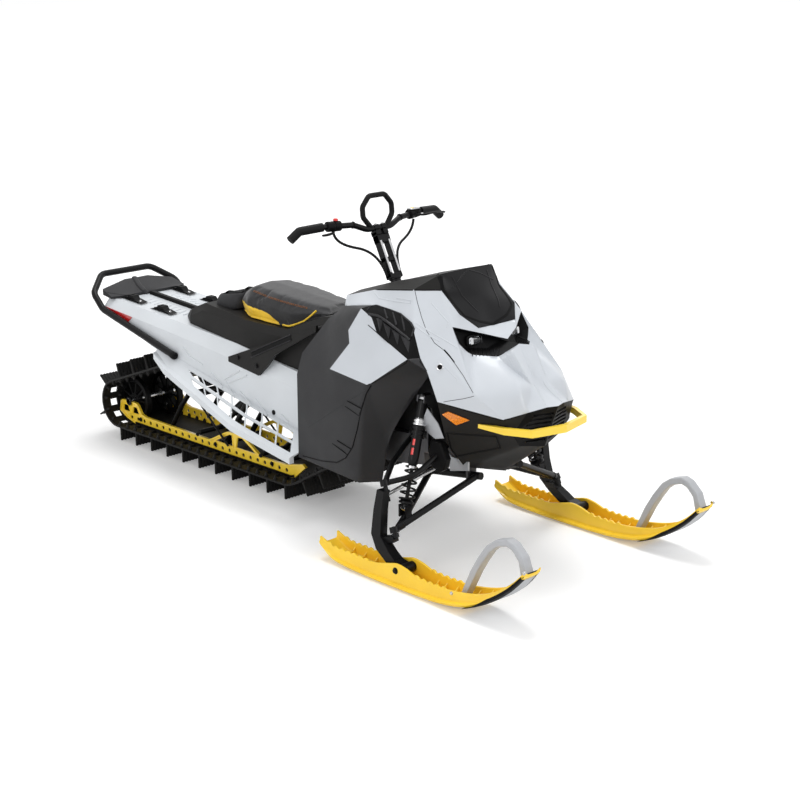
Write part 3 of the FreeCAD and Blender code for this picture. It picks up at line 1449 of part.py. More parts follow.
def make_steering():
    radius = size("bar_radius")
    bend = size("bar_bend_radius")
    route = bar_route()
    bore = tube(route, radius + GAP, bend)
    width = 2 * size("post_half_width")
    depth = size("post_depth")
    foot = tuple(post_foot())
    top = tuple(post_top())
    along = post_direction()
    length = size("post_shaft_length")
    keep("handlebar", tube(route, radius, bend))
    post = bar(foot, top, width, depth)
    shaft = Part.makeCylinder(size("post_shaft_radius"), length + 10, post_foot() - along * length, along)
    keep("steering_post", joined([post, shaft]).cut(bore))
    keep("grips", both_sides(lambda side: tube(on_bar("grip", side), size("grip_radius"), 18).cut(bore)))
    half_strap = on_bar("strap")
    strap_loop = tube(mirrored(half_strap, -1) + half_strap[::-1], size("strap_radius"), 25)
    keep("strap_loop", strap_loop.cut(bore).cut(bar(foot, top, width + 2 * GAP, depth + 2 * GAP)))
    lever_radius = size("lever_radius")
    for name, side, lever in (("throttle_block", -1, "paddle"), ("brake_cylinder", 1, "lever")):
        body = rod(*on_bar("control", side), size("control_radius"))
        arm = tube(on_bar(lever, side), lever_radius, 3 * lever_radius)
        keep(name, joined([body, arm]).cut(bore))
    keep("control_cables", both_sides(control_cable))


def control_cable(side):
    """A cable from a hand control down the side of the post to its foot."""
    end = post_foot() + post_direction() * 12
    route = on_bar("cable", side) + [(end.x, on_bar("cable", side)[-1][1], end.z)]
    return tube(route, size("cable_radius"), 12 * size("cable_radius"))


def make_steering_support():
    """A collar round the foot of the steering shaft, on two legs from the tunnel's roof."""
    along = post_direction()
    centre = post_foot() - along * size("collar_drop")
    half = along * (size("collar_length") / 2)
    length = size("collar_length")
    collar = Part.makeCylinder(size("collar_radius"), length, centre - half, along)
    bore = Part.makeCylinder(size("post_shaft_radius") + GAP, 2 * length, centre - half * 2, along)
    pieces = [collar]
    radius = size("support_leg_radius")
    x = size("support_foot_x")
    for side in (-1, 1):
        y = size("support_foot_y") * side
        z = roof_height(x - 2 * radius)
        head = (centre.x, 0.9 * size("collar_radius") * side, centre.z)
        pieces.append(rod(head, (x, y, z + radius / 2), radius))
        pieces.append(box_between((x - 2 * radius, y - 2 * radius, z),
                                  (x + 2 * radius, y + 2 * radius, z + radius)))
    keep("steering_support", joined(pieces).cut(bore))


make_bodywork()
keep("headlights", both_sides(lamp))
keep("front_reflectors", both_sides(amber_reflector))
make_bumper()
make_tunnel()
keep("running_boards", both_sides(board))
make_hoop()
make_flap()
make_coolant_tube()
make_anchors()
make_side_reflectors()
make_seat_base()
make_cushion()
make_seat_brackets()
make_track()
make_rails()
make_wheels()
make_axles()
make_skid_frame()
make_bulkhead()
make_engine()
make_front_end()
make_steering()
make_steering_support()
doc.recompute()

for item in doc.Objects:
    if "Invalid" in item.State or "Error" in item.State:
        raise RuntimeError("%s: %s" % (item.Name, item.State))
for node in nodes:
    if node.Shape.isNull() or not node.Shape.isValid() or not node.Shape.Solids:
        raise RuntimeError("%s has no sound shape" % node.Label)
    print(node.Label, round(node.Shape.Volume / 1e3), len(node.Shape.Solids))
os.makedirs("parts", exist_ok=True)
for node in nodes:
    node.Shape.exportStep("parts/%s.step" % node.Label)
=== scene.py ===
import bmesh
import bpy
import math
from mathutils import Matrix, Vector
from mathutils.bvhtree import BVHTree
from mathutils.geometry import tessellate_polygon


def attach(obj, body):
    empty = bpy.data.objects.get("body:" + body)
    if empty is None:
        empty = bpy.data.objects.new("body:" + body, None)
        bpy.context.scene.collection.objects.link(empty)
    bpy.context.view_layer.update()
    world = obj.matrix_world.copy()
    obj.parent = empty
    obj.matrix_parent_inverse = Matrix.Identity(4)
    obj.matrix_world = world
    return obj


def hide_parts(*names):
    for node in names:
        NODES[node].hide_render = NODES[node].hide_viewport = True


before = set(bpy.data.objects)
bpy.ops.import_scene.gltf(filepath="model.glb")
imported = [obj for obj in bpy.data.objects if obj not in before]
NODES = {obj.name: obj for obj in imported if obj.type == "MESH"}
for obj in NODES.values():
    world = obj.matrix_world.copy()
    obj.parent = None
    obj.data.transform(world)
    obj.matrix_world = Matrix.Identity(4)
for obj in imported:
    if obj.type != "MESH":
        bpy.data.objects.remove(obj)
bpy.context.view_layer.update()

# Everything is drawn in millimetres from the ski bolts, X forward, Y left, Z up, as the solids are,
# and then moved forward so that the origin is under the middle of the machine.
FORWARD_SHIFT = 0.845
RIGHT, LEFT = -1, 1
ALONG, ACROSS, UP = Vector((1, 0, 0)), Vector((0, 1, 0)), Vector((0, 0, 1))


def at(x, y, z):
    """A place in metres, from the machine's own millimetres."""
    return Vector((x / 1000 + FORWARD_SHIFT, y / 1000, z / 1000))


def home(place):
    """The machine's own millimetres, from a place in metres."""
    return Vector(((place.x - FORWARD_SHIFT) * 1000, place.y * 1000, place.z * 1000))


def new_object(name, data):
    made = bpy.data.objects.new(name, data)
    bpy.context.scene.collection.objects.link(made)
    return made


def settle(piece):
    """Gives a piece the mesh that its modifiers make, in place of them."""
    bpy.context.view_layer.update()
    mesh = bpy.data.meshes.new_from_object(piece.evaluated_get(bpy.context.evaluated_depsgraph_get()))
    piece.modifiers.clear()
    piece.data = mesh


# Camera at the photograph's place

CAMERA_PLACE = Vector((5.047, -4.504, 2.314))
CAMERA_YAW, CAMERA_PITCH, CAMERA_ROLL = (math.radians(a) for a in (136.29, -15.78, -0.15))
FOCAL_PIXELS, PHOTO_WIDTH, PHOTO_MIDDLE = 1783.4, 800, (399.9, 400.0)
LOOK = Vector((math.cos(CAMERA_YAW) * math.cos(CAMERA_PITCH),
               math.sin(CAMERA_YAW) * math.cos(CAMERA_PITCH), math.sin(CAMERA_PITCH)))
LEVEL_RIGHT = Vector((math.sin(CAMERA_YAW), -math.cos(CAMERA_YAW), 0))
LEVEL_UP = LEVEL_RIGHT.cross(LOOK)
VIEW_RIGHT = LEVEL_RIGHT * math.cos(CAMERA_ROLL) + LEVEL_UP * math.sin(CAMERA_ROLL)
VIEW_UP = VIEW_RIGHT.cross(LOOK)


def make_camera():
    data = bpy.data.cameras.new("camera")
    data.sensor_width = 36
    data.lens = FOCAL_PIXELS / PHOTO_WIDTH * data.sensor_width
    camera = new_object("camera", data)
    turn = Matrix((VIEW_RIGHT, VIEW_UP, -LOOK)).transposed()
    camera.matrix_world = Matrix.Translation(CAMERA_PLACE) @ turn.to_4x4()
    bpy.context.scene.camera = camera


# Control cables, each a free cord from a hand control into the foot of the riser

CABLE_ROUTE = ((0.198, 0.205, 1.125), (0.200, 0.200, 1.080), (0.261, 0.0355, 1.038), (0.3055, 0.0355, 0.9507))
CABLE_DIAMETER = 0.010


def make_cable(side, name):
    """A curve of one thickness; its radius is on its points, because the bounds count them."""
    data = bpy.data.curves.new("control_cable", "CURVE")
    data.dimensions = "3D"
    data.bevel_depth = 1.0
    data.bevel_resolution = 4
    data.use_fill_caps = True
    spline = data.splines.new("NURBS")
    spline.points.add(len(CABLE_ROUTE) - 1)
    for point, (x, y, z) in zip(spline.points, CABLE_ROUTE):
        point.co = (x, y * side, z, 1)
        point.radius = CABLE_DIAMETER / 2
    spline.order_u = 3
    spline.use_endpoint_u = True
    spline.resolution_u = 16
    cable = new_object(name, data)
    x, y, z = CABLE_ROUTE[0]
    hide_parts("control_cables")
    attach(cable, "steering")
    data.materials.append(GRIP_RUBBER)


# Skins: smooth panels over the faceted solids

SOFT_PANELS = {"hood": (16, 60), "hood_sides": (16, 60), "upper_panels": (16, 60), "side_panels": (13, 50),
               "belly": (18, 60), "windscreen": (20, 70), "snow_flap": (20, 60), "side_vents": (20, 60)}
SKIN_LEVELS, SAME_PLACE = 3, 0.00005
SKINS = {}


def soften(name, shallow, crisp):
    """A smooth skin over a faceted panel: edges below one angle melt, those above the other stay crisp."""
    cage = bmesh.new()
    cage.from_mesh(NODES[name].data)
    bmesh.ops.remove_doubles(cage, verts=cage.verts, dist=SAME_PLACE)
    bmesh.ops.dissolve_limit(cage, angle_limit=math.radians(0.6), verts=cage.verts, edges=cage.edges)
    edge_crease = cage.edges.layers.float.new("crease_edge")
    corner_crease = cage.verts.layers.float.new("crease_vert")
    for edge in cage.edges:
        angle = math.degrees(edge.calc_face_angle(math.pi))
        edge[edge_crease] = min(1, max(0, (angle - shallow) / (crisp - shallow)))
    for corner in cage.verts:
        if any(edge[edge_crease] > 0.95 for edge in corner.link_edges):
            corner[corner_crease] = 1
    mesh = bpy.data.meshes.new(name + "_cage")
    cage.to_mesh(mesh)
    cage.free()
    skin = new_object(name + "_skin", mesh)
    surface = skin.modifiers.new("skin", "SUBSURF")
    surface.levels = surface.render_levels = SKIN_LEVELS
    settle(skin)
    skin.data.shade_smooth()
    skin.data.set_sharp_from_angle(angle=math.radians(40))
    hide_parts(name)
    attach(skin, "chassis")
    SKINS[name] = skin


# Places on the solids

TREES = {}
MISS_STEP, MISS_TRIES = 0.01, 200
SEEN_STEP = 2.5


def tree(*names):
    """A search tree over the rest shape of some solids or of their skins."""
    if names not in TREES:
        corners = []
        triangles = []
        for name in names:
            mesh = SKINS.get(name, NODES[name]).data
            start = len(corners)
            corners += [vertex.co.copy() for vertex in mesh.vertices]
            triangles += [tuple(start + i for i in face.vertices) for face in mesh.polygons]
        TREES[names] = BVHTree.FromPolygons(corners, triangles)
    return TREES[names]


def beside(start, ray, names):
    """The place on these solids nearest a line that passes them by."""
    middle = tree(*names).find_nearest(start)[0]
    far = (middle - start).dot(ray)
    tries = [tree(*names).find_nearest(start + ray * (far + MISS_STEP * i)) for i in range(MISS_TRIES)]
    nearest = min(tries, key=lambda found: found[3])
    return nearest[0], nearest[1]


def meet(start, ray, names):
    """Where a line meets these solids: the place in the machine's millimetres and the outward direction."""
    place, normal, _, _ = tree(*names).ray_cast(start, ray)
    if place is None:
        place, normal = beside(start, ray, names)
    return home(place), (normal if normal.dot(ray) < 0 else -normal)


def ray_through(pixel):
    """The direction from the camera through a pixel of the photograph."""
    across = (pixel[0] - PHOTO_MIDDLE[0]) / FOCAL_PIXELS
    up = (PHOTO_MIDDLE[1] - pixel[1]) / FOCAL_PIXELS
    return LOOK + VIEW_RIGHT * across + VIEW_UP * up


def seen(pixel, *names):
    """The place where the photograph's pixel meets these solids."""
    return meet(CAMERA_PLACE, ray_through(pixel).normalized(), names)


def seen_line(pixels, *names):
    """Places along a line drawn on the photograph, close enough together to follow the surface."""
    line = []
    for first, last in zip(pixels, pixels[1:]):
        count = max(1, round(math.dist(first, last) / SEEN_STEP))
        line += [(first[0] + (last[0] - first[0]) * i / count, first[1] + (last[1] - first[1]) * i / count)
                 for i in range(count)]
    return [seen(pixel, *names) for pixel in line + [pixels[-1]]]


def seen_at(pixel, y):
    """The place where the photograph's pixel meets the upright plane at this y, in millimetres."""
    ray = ray_through(pixel)
    return home(CAMERA_PLACE + ray * ((y / 1000 - CAMERA_PLACE.y) / ray.y))


def hit_from_above(x, y, *names):
    """The top of these solids at this place."""
    return meet(at(x, y, 900), -UP, names)


# Pieces gathered from simple parts

BEAD_SUNK = 1.0


def frame_of(axis):
    """Two directions square to an axis."""
    axis = Vector(axis).normalized()
    across = axis.cross(UP if abs(axis.z) < 0.9 else ALONG).normalized()
    return across, axis.cross(across)


def spoke(across, other, turn):
    """The direction at this turn between two that are square to each other."""
    return across * math.cos(turn) + other * math.sin(turn)


class Piece:
    """One visual piece, gathered in the machine's millimetres."""

    def __init__(self, name, body, *materials):
        self.name, self.body, self.materials = name, body, materials
        self.points, self.faces, self.slots = [], [], []

    def add(self, points, faces, slot=0):
        start = len(self.points)
        self.points += [Vector(point) for point in points]
        self.faces += [tuple(start + i for i in face) for face in faces]
        self.slots += [slot] * len(faces)

    def rows(self, rows, slot=0, closed=False, capped=False, ring=False):
        """A skin over rows of points; closed joins each row's ends, ring joins the last row to the first."""
        count = len(rows[0])
        around = count if closed else count - 1
        total = len(rows) if ring else len(rows) - 1
        faces = []
        for i in range(total):
            here, there = i * count, (i + 1) % len(rows) * count
            faces += [(here + j, here + (j + 1) % count, there + (j + 1) % count, there + j)
                      for j in range(around)]
        if capped:
            faces += [tuple(reversed(range(count))), tuple(range((len(rows) - 1) * count, len(rows) * count))]
        self.add([point for row in rows for point in row], faces, slot)

    def solid(self, rows, slot=0):
        """A body between rows of points that each close on themselves, with flat ends."""
        self.rows(rows, slot, closed=True, capped=True)

    def tube(self, path, radius, slot=0, sides=10, flat=1.0, spin=0.0):
        """A round or flattened bar along a path; the radius is one number or one for each point."""
        path = [Vector(point) for point in path]
        radii = radius if isinstance(radius, (list, tuple)) else [radius] * len(path)
        across = None
        rows = []
        for i, point in enumerate(path):
            along = (path[min(i + 1, len(path) - 1)] - path[max(i - 1, 0)]).normalized()
            if across is None:
                across, other = frame_of(along)
            else:
                across = (across - along * across.dot(along)).normalized()
                other = along.cross(across)
            turns = [spin + 2 * math.pi * j / sides for j in range(sides)]
            rows.append([point + (across * math.cos(t) + other * math.sin(t) * flat) * radii[i]
                         for t in turns])
        self.solid(rows, slot)

    def lathe(self, place, axis, profile, slot=0, sides=24):
        """A turned shape: the profile holds pairs of height along the axis and radius."""
        place, axis = Vector(place), Vector(axis).normalized()
        across, other = frame_of(axis)
        turns = [2 * math.pi * i / sides for i in range(sides)]
        self.solid([[place + axis * height + spoke(across, other, turn) * radius for turn in turns]
                    for height, radius in profile], slot)

    def bolt(self, place, normal, radius, slot=0):
        """A hexagon head on its washer."""
        height = radius * 0.7
        self.lathe(place, normal, ((-1, radius * 1.35), (1.0, radius * 1.35), (1.4, radius * 1.25)), slot, 18)
        self.lathe(place, normal, ((1, radius), (height, radius), (height + 1, radius * 0.86)), slot, 6)

    def bead(self, line, width, height, slot=0):
        """A raised strip along places on a surface."""
        rows = []
        for i, (place, normal) in enumerate(line):
            ahead = line[min(i + 1, len(line) - 1)][0] - line[max(i - 1, 0)][0]
            across = ahead.cross(normal).normalized() * width / 2
            rows.append([place + across * aside + normal * lift for aside, lift in
                         ((-1, -BEAD_SUNK), (-0.9, height * 0.45), (-0.45, height), (0.45, height),
                          (0.9, height * 0.45), (1, -BEAD_SUNK))])
        self.solid(rows, slot)

    def plate(self, outline, normal, thickness, slot, chamfer):
        """A flat plate with this outline, its top edge chamfered."""
        middle = sum(outline, Vector()) / len(outline)
        inner = [point + (middle - point).normalized() * chamfer for point in outline]
        self.solid([outline, [point + normal * (thickness - chamfer) for point in outline],
                    [point + normal * thickness for point in inner]], slot)

    def patch(self, edge_a, edge_b, lift, slot=0, steps=6):
        """A raised sheet between two lines of places on a surface, with as many places in each."""
        rows = []
        for (start, up_a), (end, up_b) in zip(edge_a, edge_b):
            rows.append([start.lerp(end, i / steps) + up_a.lerp(up_b, i / steps).normalized() * lift
                         for i in range(steps + 1)])
        count = steps + 1
        self.rows(rows, slot)
        borders = ([row[0] for row in rows] + rows[-1][1:] + [row[-1] for row in reversed(rows[:-1])]
                   + rows[0][-2:0:-1])
        normals = ([n for _, n in edge_a] + [edge_a[-1][1]] * (count - 1)
                   + [n for _, n in reversed(edge_b[:-1])] + [edge_a[0][1]] * (count - 2))
        self.rows([borders, [point - normal * (lift + 2) for point, normal in zip(borders, normals)]],
                  slot, closed=True)

    def both_sides(self):
        """Adds the mirror image of all that is in the piece."""
        count = len(self.points)
        self.points += [Vector((p.x, -p.y, p.z)) for p in self.points]
        self.faces += [tuple(reversed([count + i for i in face])) for face in self.faces]
        self.slots += list(self.slots)
        return self

    def done(self, replaces=(), smooth_angle=35):
        mesh = bpy.data.meshes.new(self.name)
        mesh.from_pydata([at(*point) for point in self.points], [], self.faces)
        for face, slot in zip(mesh.polygons, self.slots):
            face.material_index = slot
        for material in self.materials:
            mesh.materials.append(material)
        solid = bmesh.new()
        solid.from_mesh(mesh)
        bmesh.ops.recalc_face_normals(solid, faces=solid.faces)
        solid.to_mesh(mesh)
        solid.free()
        mesh.shade_smooth()
        mesh.set_sharp_from_angle(angle=math.radians(smooth_angle))
        piece = new_object(self.name, mesh)
        if replaces:
            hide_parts(*replaces)
        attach(piece, self.body)
        return piece


# Materials

def add_node(tree_of, kind, inputs=None, **settings):
    """A shader node; each input is a value for its socket or the socket of another node to link to it."""
    node = tree_of.nodes.new("ShaderNode" + kind)
    for name, value in settings.items():
        setattr(node, name, value)
    for socket, value in (inputs or {}).items():
        if isinstance(value, bpy.types.NodeSocket):
            tree_of.links.new(value, node.inputs[socket])
        else:
            node.inputs[socket].default_value = value
    return node


def shader(name, colour, roughness, **sockets):
    """A plain material; other sockets are named with underscores for spaces."""
    material = bpy.data.materials.new(name)
    material.use_nodes = True
    surface = material.node_tree.nodes["Principled BSDF"]
    surface.inputs["Base Color"].default_value = (*colour, 1)
    surface.inputs["Roughness"].default_value = roughness
    for socket, value in sockets.items():
        surface.inputs[socket.replace("_", " ")].default_value = value
    return material, material.node_tree, surface


def texture(tree_of, place, scale, detail=3):
    """Smooth noise of this scale, or cells where the detail is None."""
    if detail is None:
        return add_node(tree_of, "TexVoronoi", {"Vector": place, "Scale": scale}).outputs["Distance"]
    return add_node(tree_of, "TexNoise", {"Vector": place, "Scale": scale, "Detail": detail}).outputs["Fac"]


def shade(colour, factor):
    return (*(min(1.0, part * factor) for part in colour), 1)


def worn(name, colour, roughness, tone, shades, gloss, swing, reliefs, stretch=(1, 1, 1), **sockets):
    """A material whose shade, gloss and relief follow textures.

    Tone and gloss are each a texture's scale and detail, with the factors of the colour and the
    steps of the roughness at its ends; each relief is a scale, a detail and a depth in metres."""
    material, tree_of, surface = shader(name, colour, roughness, **sockets)
    coordinates = add_node(tree_of, "TexCoord").outputs["Object"]
    place = add_node(tree_of, "Mapping", {"Vector": coordinates, "Scale": stretch}).outputs["Vector"]
    ramp = add_node(tree_of, "ValToRGB", {"Fac": texture(tree_of, place, *tone)})
    for element, position, factor in zip(ramp.color_ramp.elements, (0.3, 0.7), shades):
        element.position = position
        element.color = shade(colour, factor)
    tree_of.links.new(ramp.outputs["Color"], surface.inputs["Base Color"])
    if gloss:
        low, high = (roughness + step for step in swing)
        fac = texture(tree_of, place, *gloss)
        spread = add_node(tree_of, "MapRange", {"Value": fac, "To Min": low, "To Max": high})
        tree_of.links.new(spread.outputs["Result"], surface.inputs["Roughness"])
    before = {}
    for scale, detail, depth in reliefs:
        bump = add_node(tree_of, "Bump", {"Height": texture(tree_of, place, scale, detail), "Distance": depth,
                                          "Strength": 1.0, **before})
        before = {"Normal": bump.outputs["Normal"]}
    tree_of.links.new(before["Normal"], surface.inputs["Normal"])
    return material


def moulded(name, colour, roughness, grain=900, depth=0.00006, coat=0.0, specular=0.4, spread=0.08):
    """Moulded plastic or rubber: fine grain, slow shade changes and uneven gloss."""
    return worn(name, colour, roughness, (7,), (1 - spread, 1 + spread), (16,), (-0.06, 0.08),
                ((grain, 2, depth), (12, 1, 0.0006)), Coat_Weight=coat, Specular_IOR_Level=specular,
                Coat_Roughness=0.12)


def painted(name, colour, roughness, metallic=0.0, coat=0.5, specular=0.5):
    """Paint or powder coat: a faint orange peel under gloss."""
    return worn(name, colour, roughness, (5,), (0.96, 1.03), (30,), (-0.05, 0.06), ((420, 2, 0.00005),),
                Metallic=metallic, Coat_Weight=coat, Specular_IOR_Level=specular, Coat_Roughness=0.1)


def metal(name, colour, roughness, scale=(1, 1, 1), grain=300, depth=0.00008):
    """Bare metal with brushed or cast grain."""
    return worn(name, colour, roughness, (9,), (0.85, 1.08), (grain, 4), (-0.08, 0.12), ((grain, 4, depth),),
                stretch=scale, Metallic=1.0)


def vinyl(name, colour, roughness=0.5):
    """Seat cover: pebbled grain with a soft sheen."""
    return worn(name, colour, roughness, (10,), (0.85, 1.2), (25,), (-0.08, 0.1),
                ((420, None, 0.00022), (18, 2, 0.0012)), Specular_IOR_Level=0.35, Sheen_Weight=0.25,
                Sheen_Roughness=0.4)


def lens(name, colour, roughness=0.12):
    """A moulded reflector: small prisms under clear plastic."""
    return worn(name, colour, roughness, (260, None), (0.7, 1.15), None, None, ((260, None, 0.0004),),
                Coat_Weight=0.8)


PALE_GREY = (0.56, 0.59, 0.63)
CHARCOAL = (0.026, 0.026, 0.028)
WARM_YELLOW = (0.98, 0.68, 0.042)
LIGHT_PANEL = painted("light_panel", PALE_GREY, 0.36, coat=0.25)
TUNNEL_PAINT = painted("tunnel_paint", (0.64, 0.67, 0.70), 0.4, metallic=0.1, coat=0.15)
DARK_PLASTIC = moulded("dark_plastic", CHARCOAL, 0.5, specular=0.22)
DEEP_PLASTIC = moulded("deep_plastic", (0.013, 0.0125, 0.012), 0.5, specular=0.16)
BLACK_PLASTIC = moulded("black_plastic", (0.004, 0.004, 0.0043), 0.45, specular=0.1)
SCREEN = moulded("smoked_screen", (0.007, 0.007, 0.008), 0.3, grain=60, depth=0.00002, coat=0.04,
                 specular=0.16)
TRACK_RUBBER = moulded("track_rubber", (0.009, 0.0085, 0.008), 0.62, grain=500, depth=0.00018, specular=0.25,
                       spread=0.2)
GRIP_RUBBER = moulded("grip_rubber", (0.006, 0.006, 0.0063), 0.55, grain=700, depth=0.00012, specular=0.15)
YELLOW_PAINT = painted("yellow_paint", WARM_YELLOW, 0.34)
YELLOW_PLASTIC = moulded("yellow_plastic", (0.97, 0.63, 0.035), 0.36, coat=0.25, spread=0.05)
GREY_PLASTIC = moulded("grey_plastic", (0.42, 0.43, 0.45), 0.42, spread=0.05)
BLACK_STEEL = painted("black_steel", (0.004, 0.004, 0.0045), 0.36, coat=0.05, specular=0.16)
BRIGHT_STEEL = metal("bright_steel", (0.62, 0.62, 0.63), 0.24, scale=(1, 12, 12))
CAST_ALUMINIUM = metal("cast_aluminium", (0.42, 0.43, 0.45), 0.42, grain=220, depth=0.0003)
# Bulkhead and engine block: cast metal painted near black, painted shade for where they sit in shadow inside
# the body.
SHADED_CASTING = metal("casting_painted_shade", (0.09, 0.09, 0.095), 0.45, grain=220, depth=0.0002)
CHROME = metal("chrome", (0.85, 0.86, 0.88), 0.1, grain=40, depth=0.00001)
# Seat vinyl in two shades: the lighter top is a painted sheen, the darker sides are painted shade.
SEAT_VINYL_PAINTED_SHEEN = vinyl("seat_vinyl_painted_sheen", (0.022, 0.022, 0.024))
SEAT_SIDE_PAINTED_SHADE = vinyl("seat_side_painted_shade", (0.012, 0.012, 0.013), 0.62)
SEAT_YELLOW = vinyl("seat_yellow", (0.92, 0.56, 0.03), 0.45)
THREAD = moulded("thread", (0.55, 0.17, 0.015), 0.6)
AMBER_LENS = lens("amber_lens", (0.86, 0.24, 0.01))
RED_LENS = lens("red_lens", (0.5, 0.01, 0.01))
LAMP_GLASS = painted("lamp_glass", (0.02, 0.021, 0.023), 0.12, coat=0.6)
STOP_RED = moulded("stop_red", (0.7, 0.02, 0.015), 0.35, coat=0.4)

NODE_MATERIALS = {
    LIGHT_PANEL: ("hood", "hood_sides", "upper_panels"),
    TUNNEL_PAINT: ("tunnel", "running_boards"),
    DARK_PLASTIC: ("side_panels", "snow_flap"),
    DEEP_PLASTIC: ("dash", "belly", "seat_base", "seat_brackets"),
    BLACK_PLASTIC: ("side_vents", "coolant_tube", "cargo_anchors", "grille", "lamp_housing", "track_wheels"),
    SCREEN: ("windscreen",),
    YELLOW_PAINT: ("front_bumper",),
    GREY_PLASTIC: ("ski_loop_left", "ski_loop_right"),
    BLACK_STEEL: ("rear_grab_bar", "upper_arms", "lower_arms", "skid_arms", "handlebar", "spindle_left",
                  "spindle_right", "steering_support", "skid_shocks"),
    GRIP_RUBBER: ("grips", "strap_loop"),
    BRIGHT_STEEL: ("wheel_axles", "tie_rod_left", "tie_rod_right"),
    SHADED_CASTING: ("bulkhead", "engine_block"),
    RED_LENS: ("side_reflectors",),
    AMBER_LENS: ("front_reflectors",),
}
EDGE_ROUNDING = {"dash": 3.0, "tunnel": 1.2, "seat_base": 6.0, "front_bumper": 4.0, "running_boards": 1.5,
                 "spindle_left": 4.0, "spindle_right": 4.0, "bulkhead": 2.0, "ski_loop_left": 6.0,
                 "ski_loop_right": 6.0, "seat_brackets": 2.0, "grille": 1.0, "lamp_housing": 1.5,
                 "coolant_tube": 1.5, "cargo_anchors": 1.5, "side_reflectors": 0.6, "front_reflectors": 0.6,
                 "engine_block": 3.0}


def round_edges(piece, width):
    """Rounds a piece's edges with modifiers, which leave its own mesh alone."""
    piece.modifiers.new("weld", "WELD").merge_threshold = SAME_PLACE
    bevel = piece.modifiers.new("rounding", "BEVEL")
    bevel.width = width / 1000
    bevel.segments = 3
    bevel.limit_method = "ANGLE"
    bevel.angle_limit = math.radians(18)
    bevel.harden_normals = False
    bevel.use_clamp_overlap = True
    piece.modifiers.new("normals", "WEIGHTED_NORMAL").keep_sharp = False


def dress_nodes():
    for material, names in NODE_MATERIALS.items():
        for name in names:
            piece = SKINS.get(name, NODES[name])
            piece.data.materials.clear()
            piece.data.materials.append(material)
            if name in EDGE_ROUNDING:
                round_edges(piece, EDGE_ROUNDING[name])


# Track: a windowed belt with ribbed paddles outside and drive nubs inside

LUG_HEIGHT, BELT_THICKNESS, TRACK_HALF = 64, 8, 197
BELT_WHEELS = (((-2110, 170), 98), ((-985, 222), 150), ((-640, 335), 80), ((-1590, 398), 64))
LUG_ROWS = 64
BELT_STEPS = 4 * LUG_ROWS
NUB_PROFILE, NUB_SHARES = ((-3, 9), (3, 8.5), (12, 5), (16, 3)), (-0.93, -0.56, 0.56, 0.93)
CLIP_SHARES, CLIP_SECTION = (-0.98, -0.6, 0.6, 0.98), ((0, -2), (0, 1), (1, 1), (1, -2))
BELT_BANDS, BELT_BRIDGES = ((-1, -0.8), (-0.62, 0.62), (0.8, 1)), ((-0.81, -0.61), (0.61, 0.81))
PADDLE_SPANS = (((-0.34, 0.34),), ((-0.93, -0.36), (0.36, 0.93)))
PADDLE_RIB_PITCH, PADDLE_RIB_HALF, PADDLE_WALL_HALF, PADDLE_TOOTH = 15, 6, 3.2, 1.5


def belt_line():
    """Evenly spaced places round the belt's inner face: the place and the outward direction."""
    arcs = []
    count = len(BELT_WHEELS)
    for i, ((x, z), radius) in enumerate(BELT_WHEELS):
        (next_x, next_z), next_radius = BELT_WHEELS[(i + 1) % count]
        distance = math.dist((x, z), (next_x, next_z))
        heading = math.atan2(next_z - z, next_x - x) - math.asin((next_radius - radius) / distance)
        arcs.append(heading - math.pi / 2)
    line = []
    for i, ((x, z), radius) in enumerate(BELT_WHEELS):
        first, last = arcs[i - 1], arcs[i]
        while last < first:
            last += 2 * math.pi
        steps = max(2, round(math.degrees(last - first) / 3))
        for step in range(steps + 1):
            turn = first + (last - first) * step / steps
            line.append((Vector((x + radius * math.cos(turn), 0, z + radius * math.sin(turn))),
                         Vector((math.cos(turn), 0, math.sin(turn)))))
    line.append(line[0])
    lengths = [0]
    for (here, _), (there, _) in zip(line, line[1:]):
        lengths.append(lengths[-1] + (there - here).length)
    even = []
    index = 0
    for step in range(BELT_STEPS):
        want = lengths[-1] * step / BELT_STEPS
        while lengths[index + 1] < want:
            index += 1
        share = (want - lengths[index]) / max(1e-9, lengths[index + 1] - lengths[index])
        even.append((line[index][0].lerp(line[index + 1][0], share),
                     line[index][1].lerp(line[index + 1][1], share).normalized()))
    return even


BELT = belt_line()


def across_belt(index, share, lift):
    """A place on the belt: share runs from -1 to 1 across it, lift is measured from its inner face."""
    place, out = BELT[index % BELT_STEPS]
    return place + out * lift + Vector((0, share * TRACK_HALF, 0))


def belt_band(track, low, high):
    """One endless band of the belt between two shares of its half width."""
    rows = []
    for i in range(BELT_STEPS):
        rows.append([across_belt(i, low, 0), across_belt(i, low, BELT_THICKNESS),
                     across_belt(i, high, BELT_THICKNESS), across_belt(i, high, 0)])
    track.rows(rows, closed=True, ring=True)


def belt_bridges(track, low, high):
    """The bars between the windows, one under each row of paddles."""
    for i in range(0, BELT_STEPS, 4):
        track.solid([[across_belt(i + step, share, lift) for step, lift in
                      ((-1, 0.5), (-1, BELT_THICKNESS - 0.5), (1, BELT_THICKNESS - 0.5), (1, 0.5))]
                     for share in (low, high)])


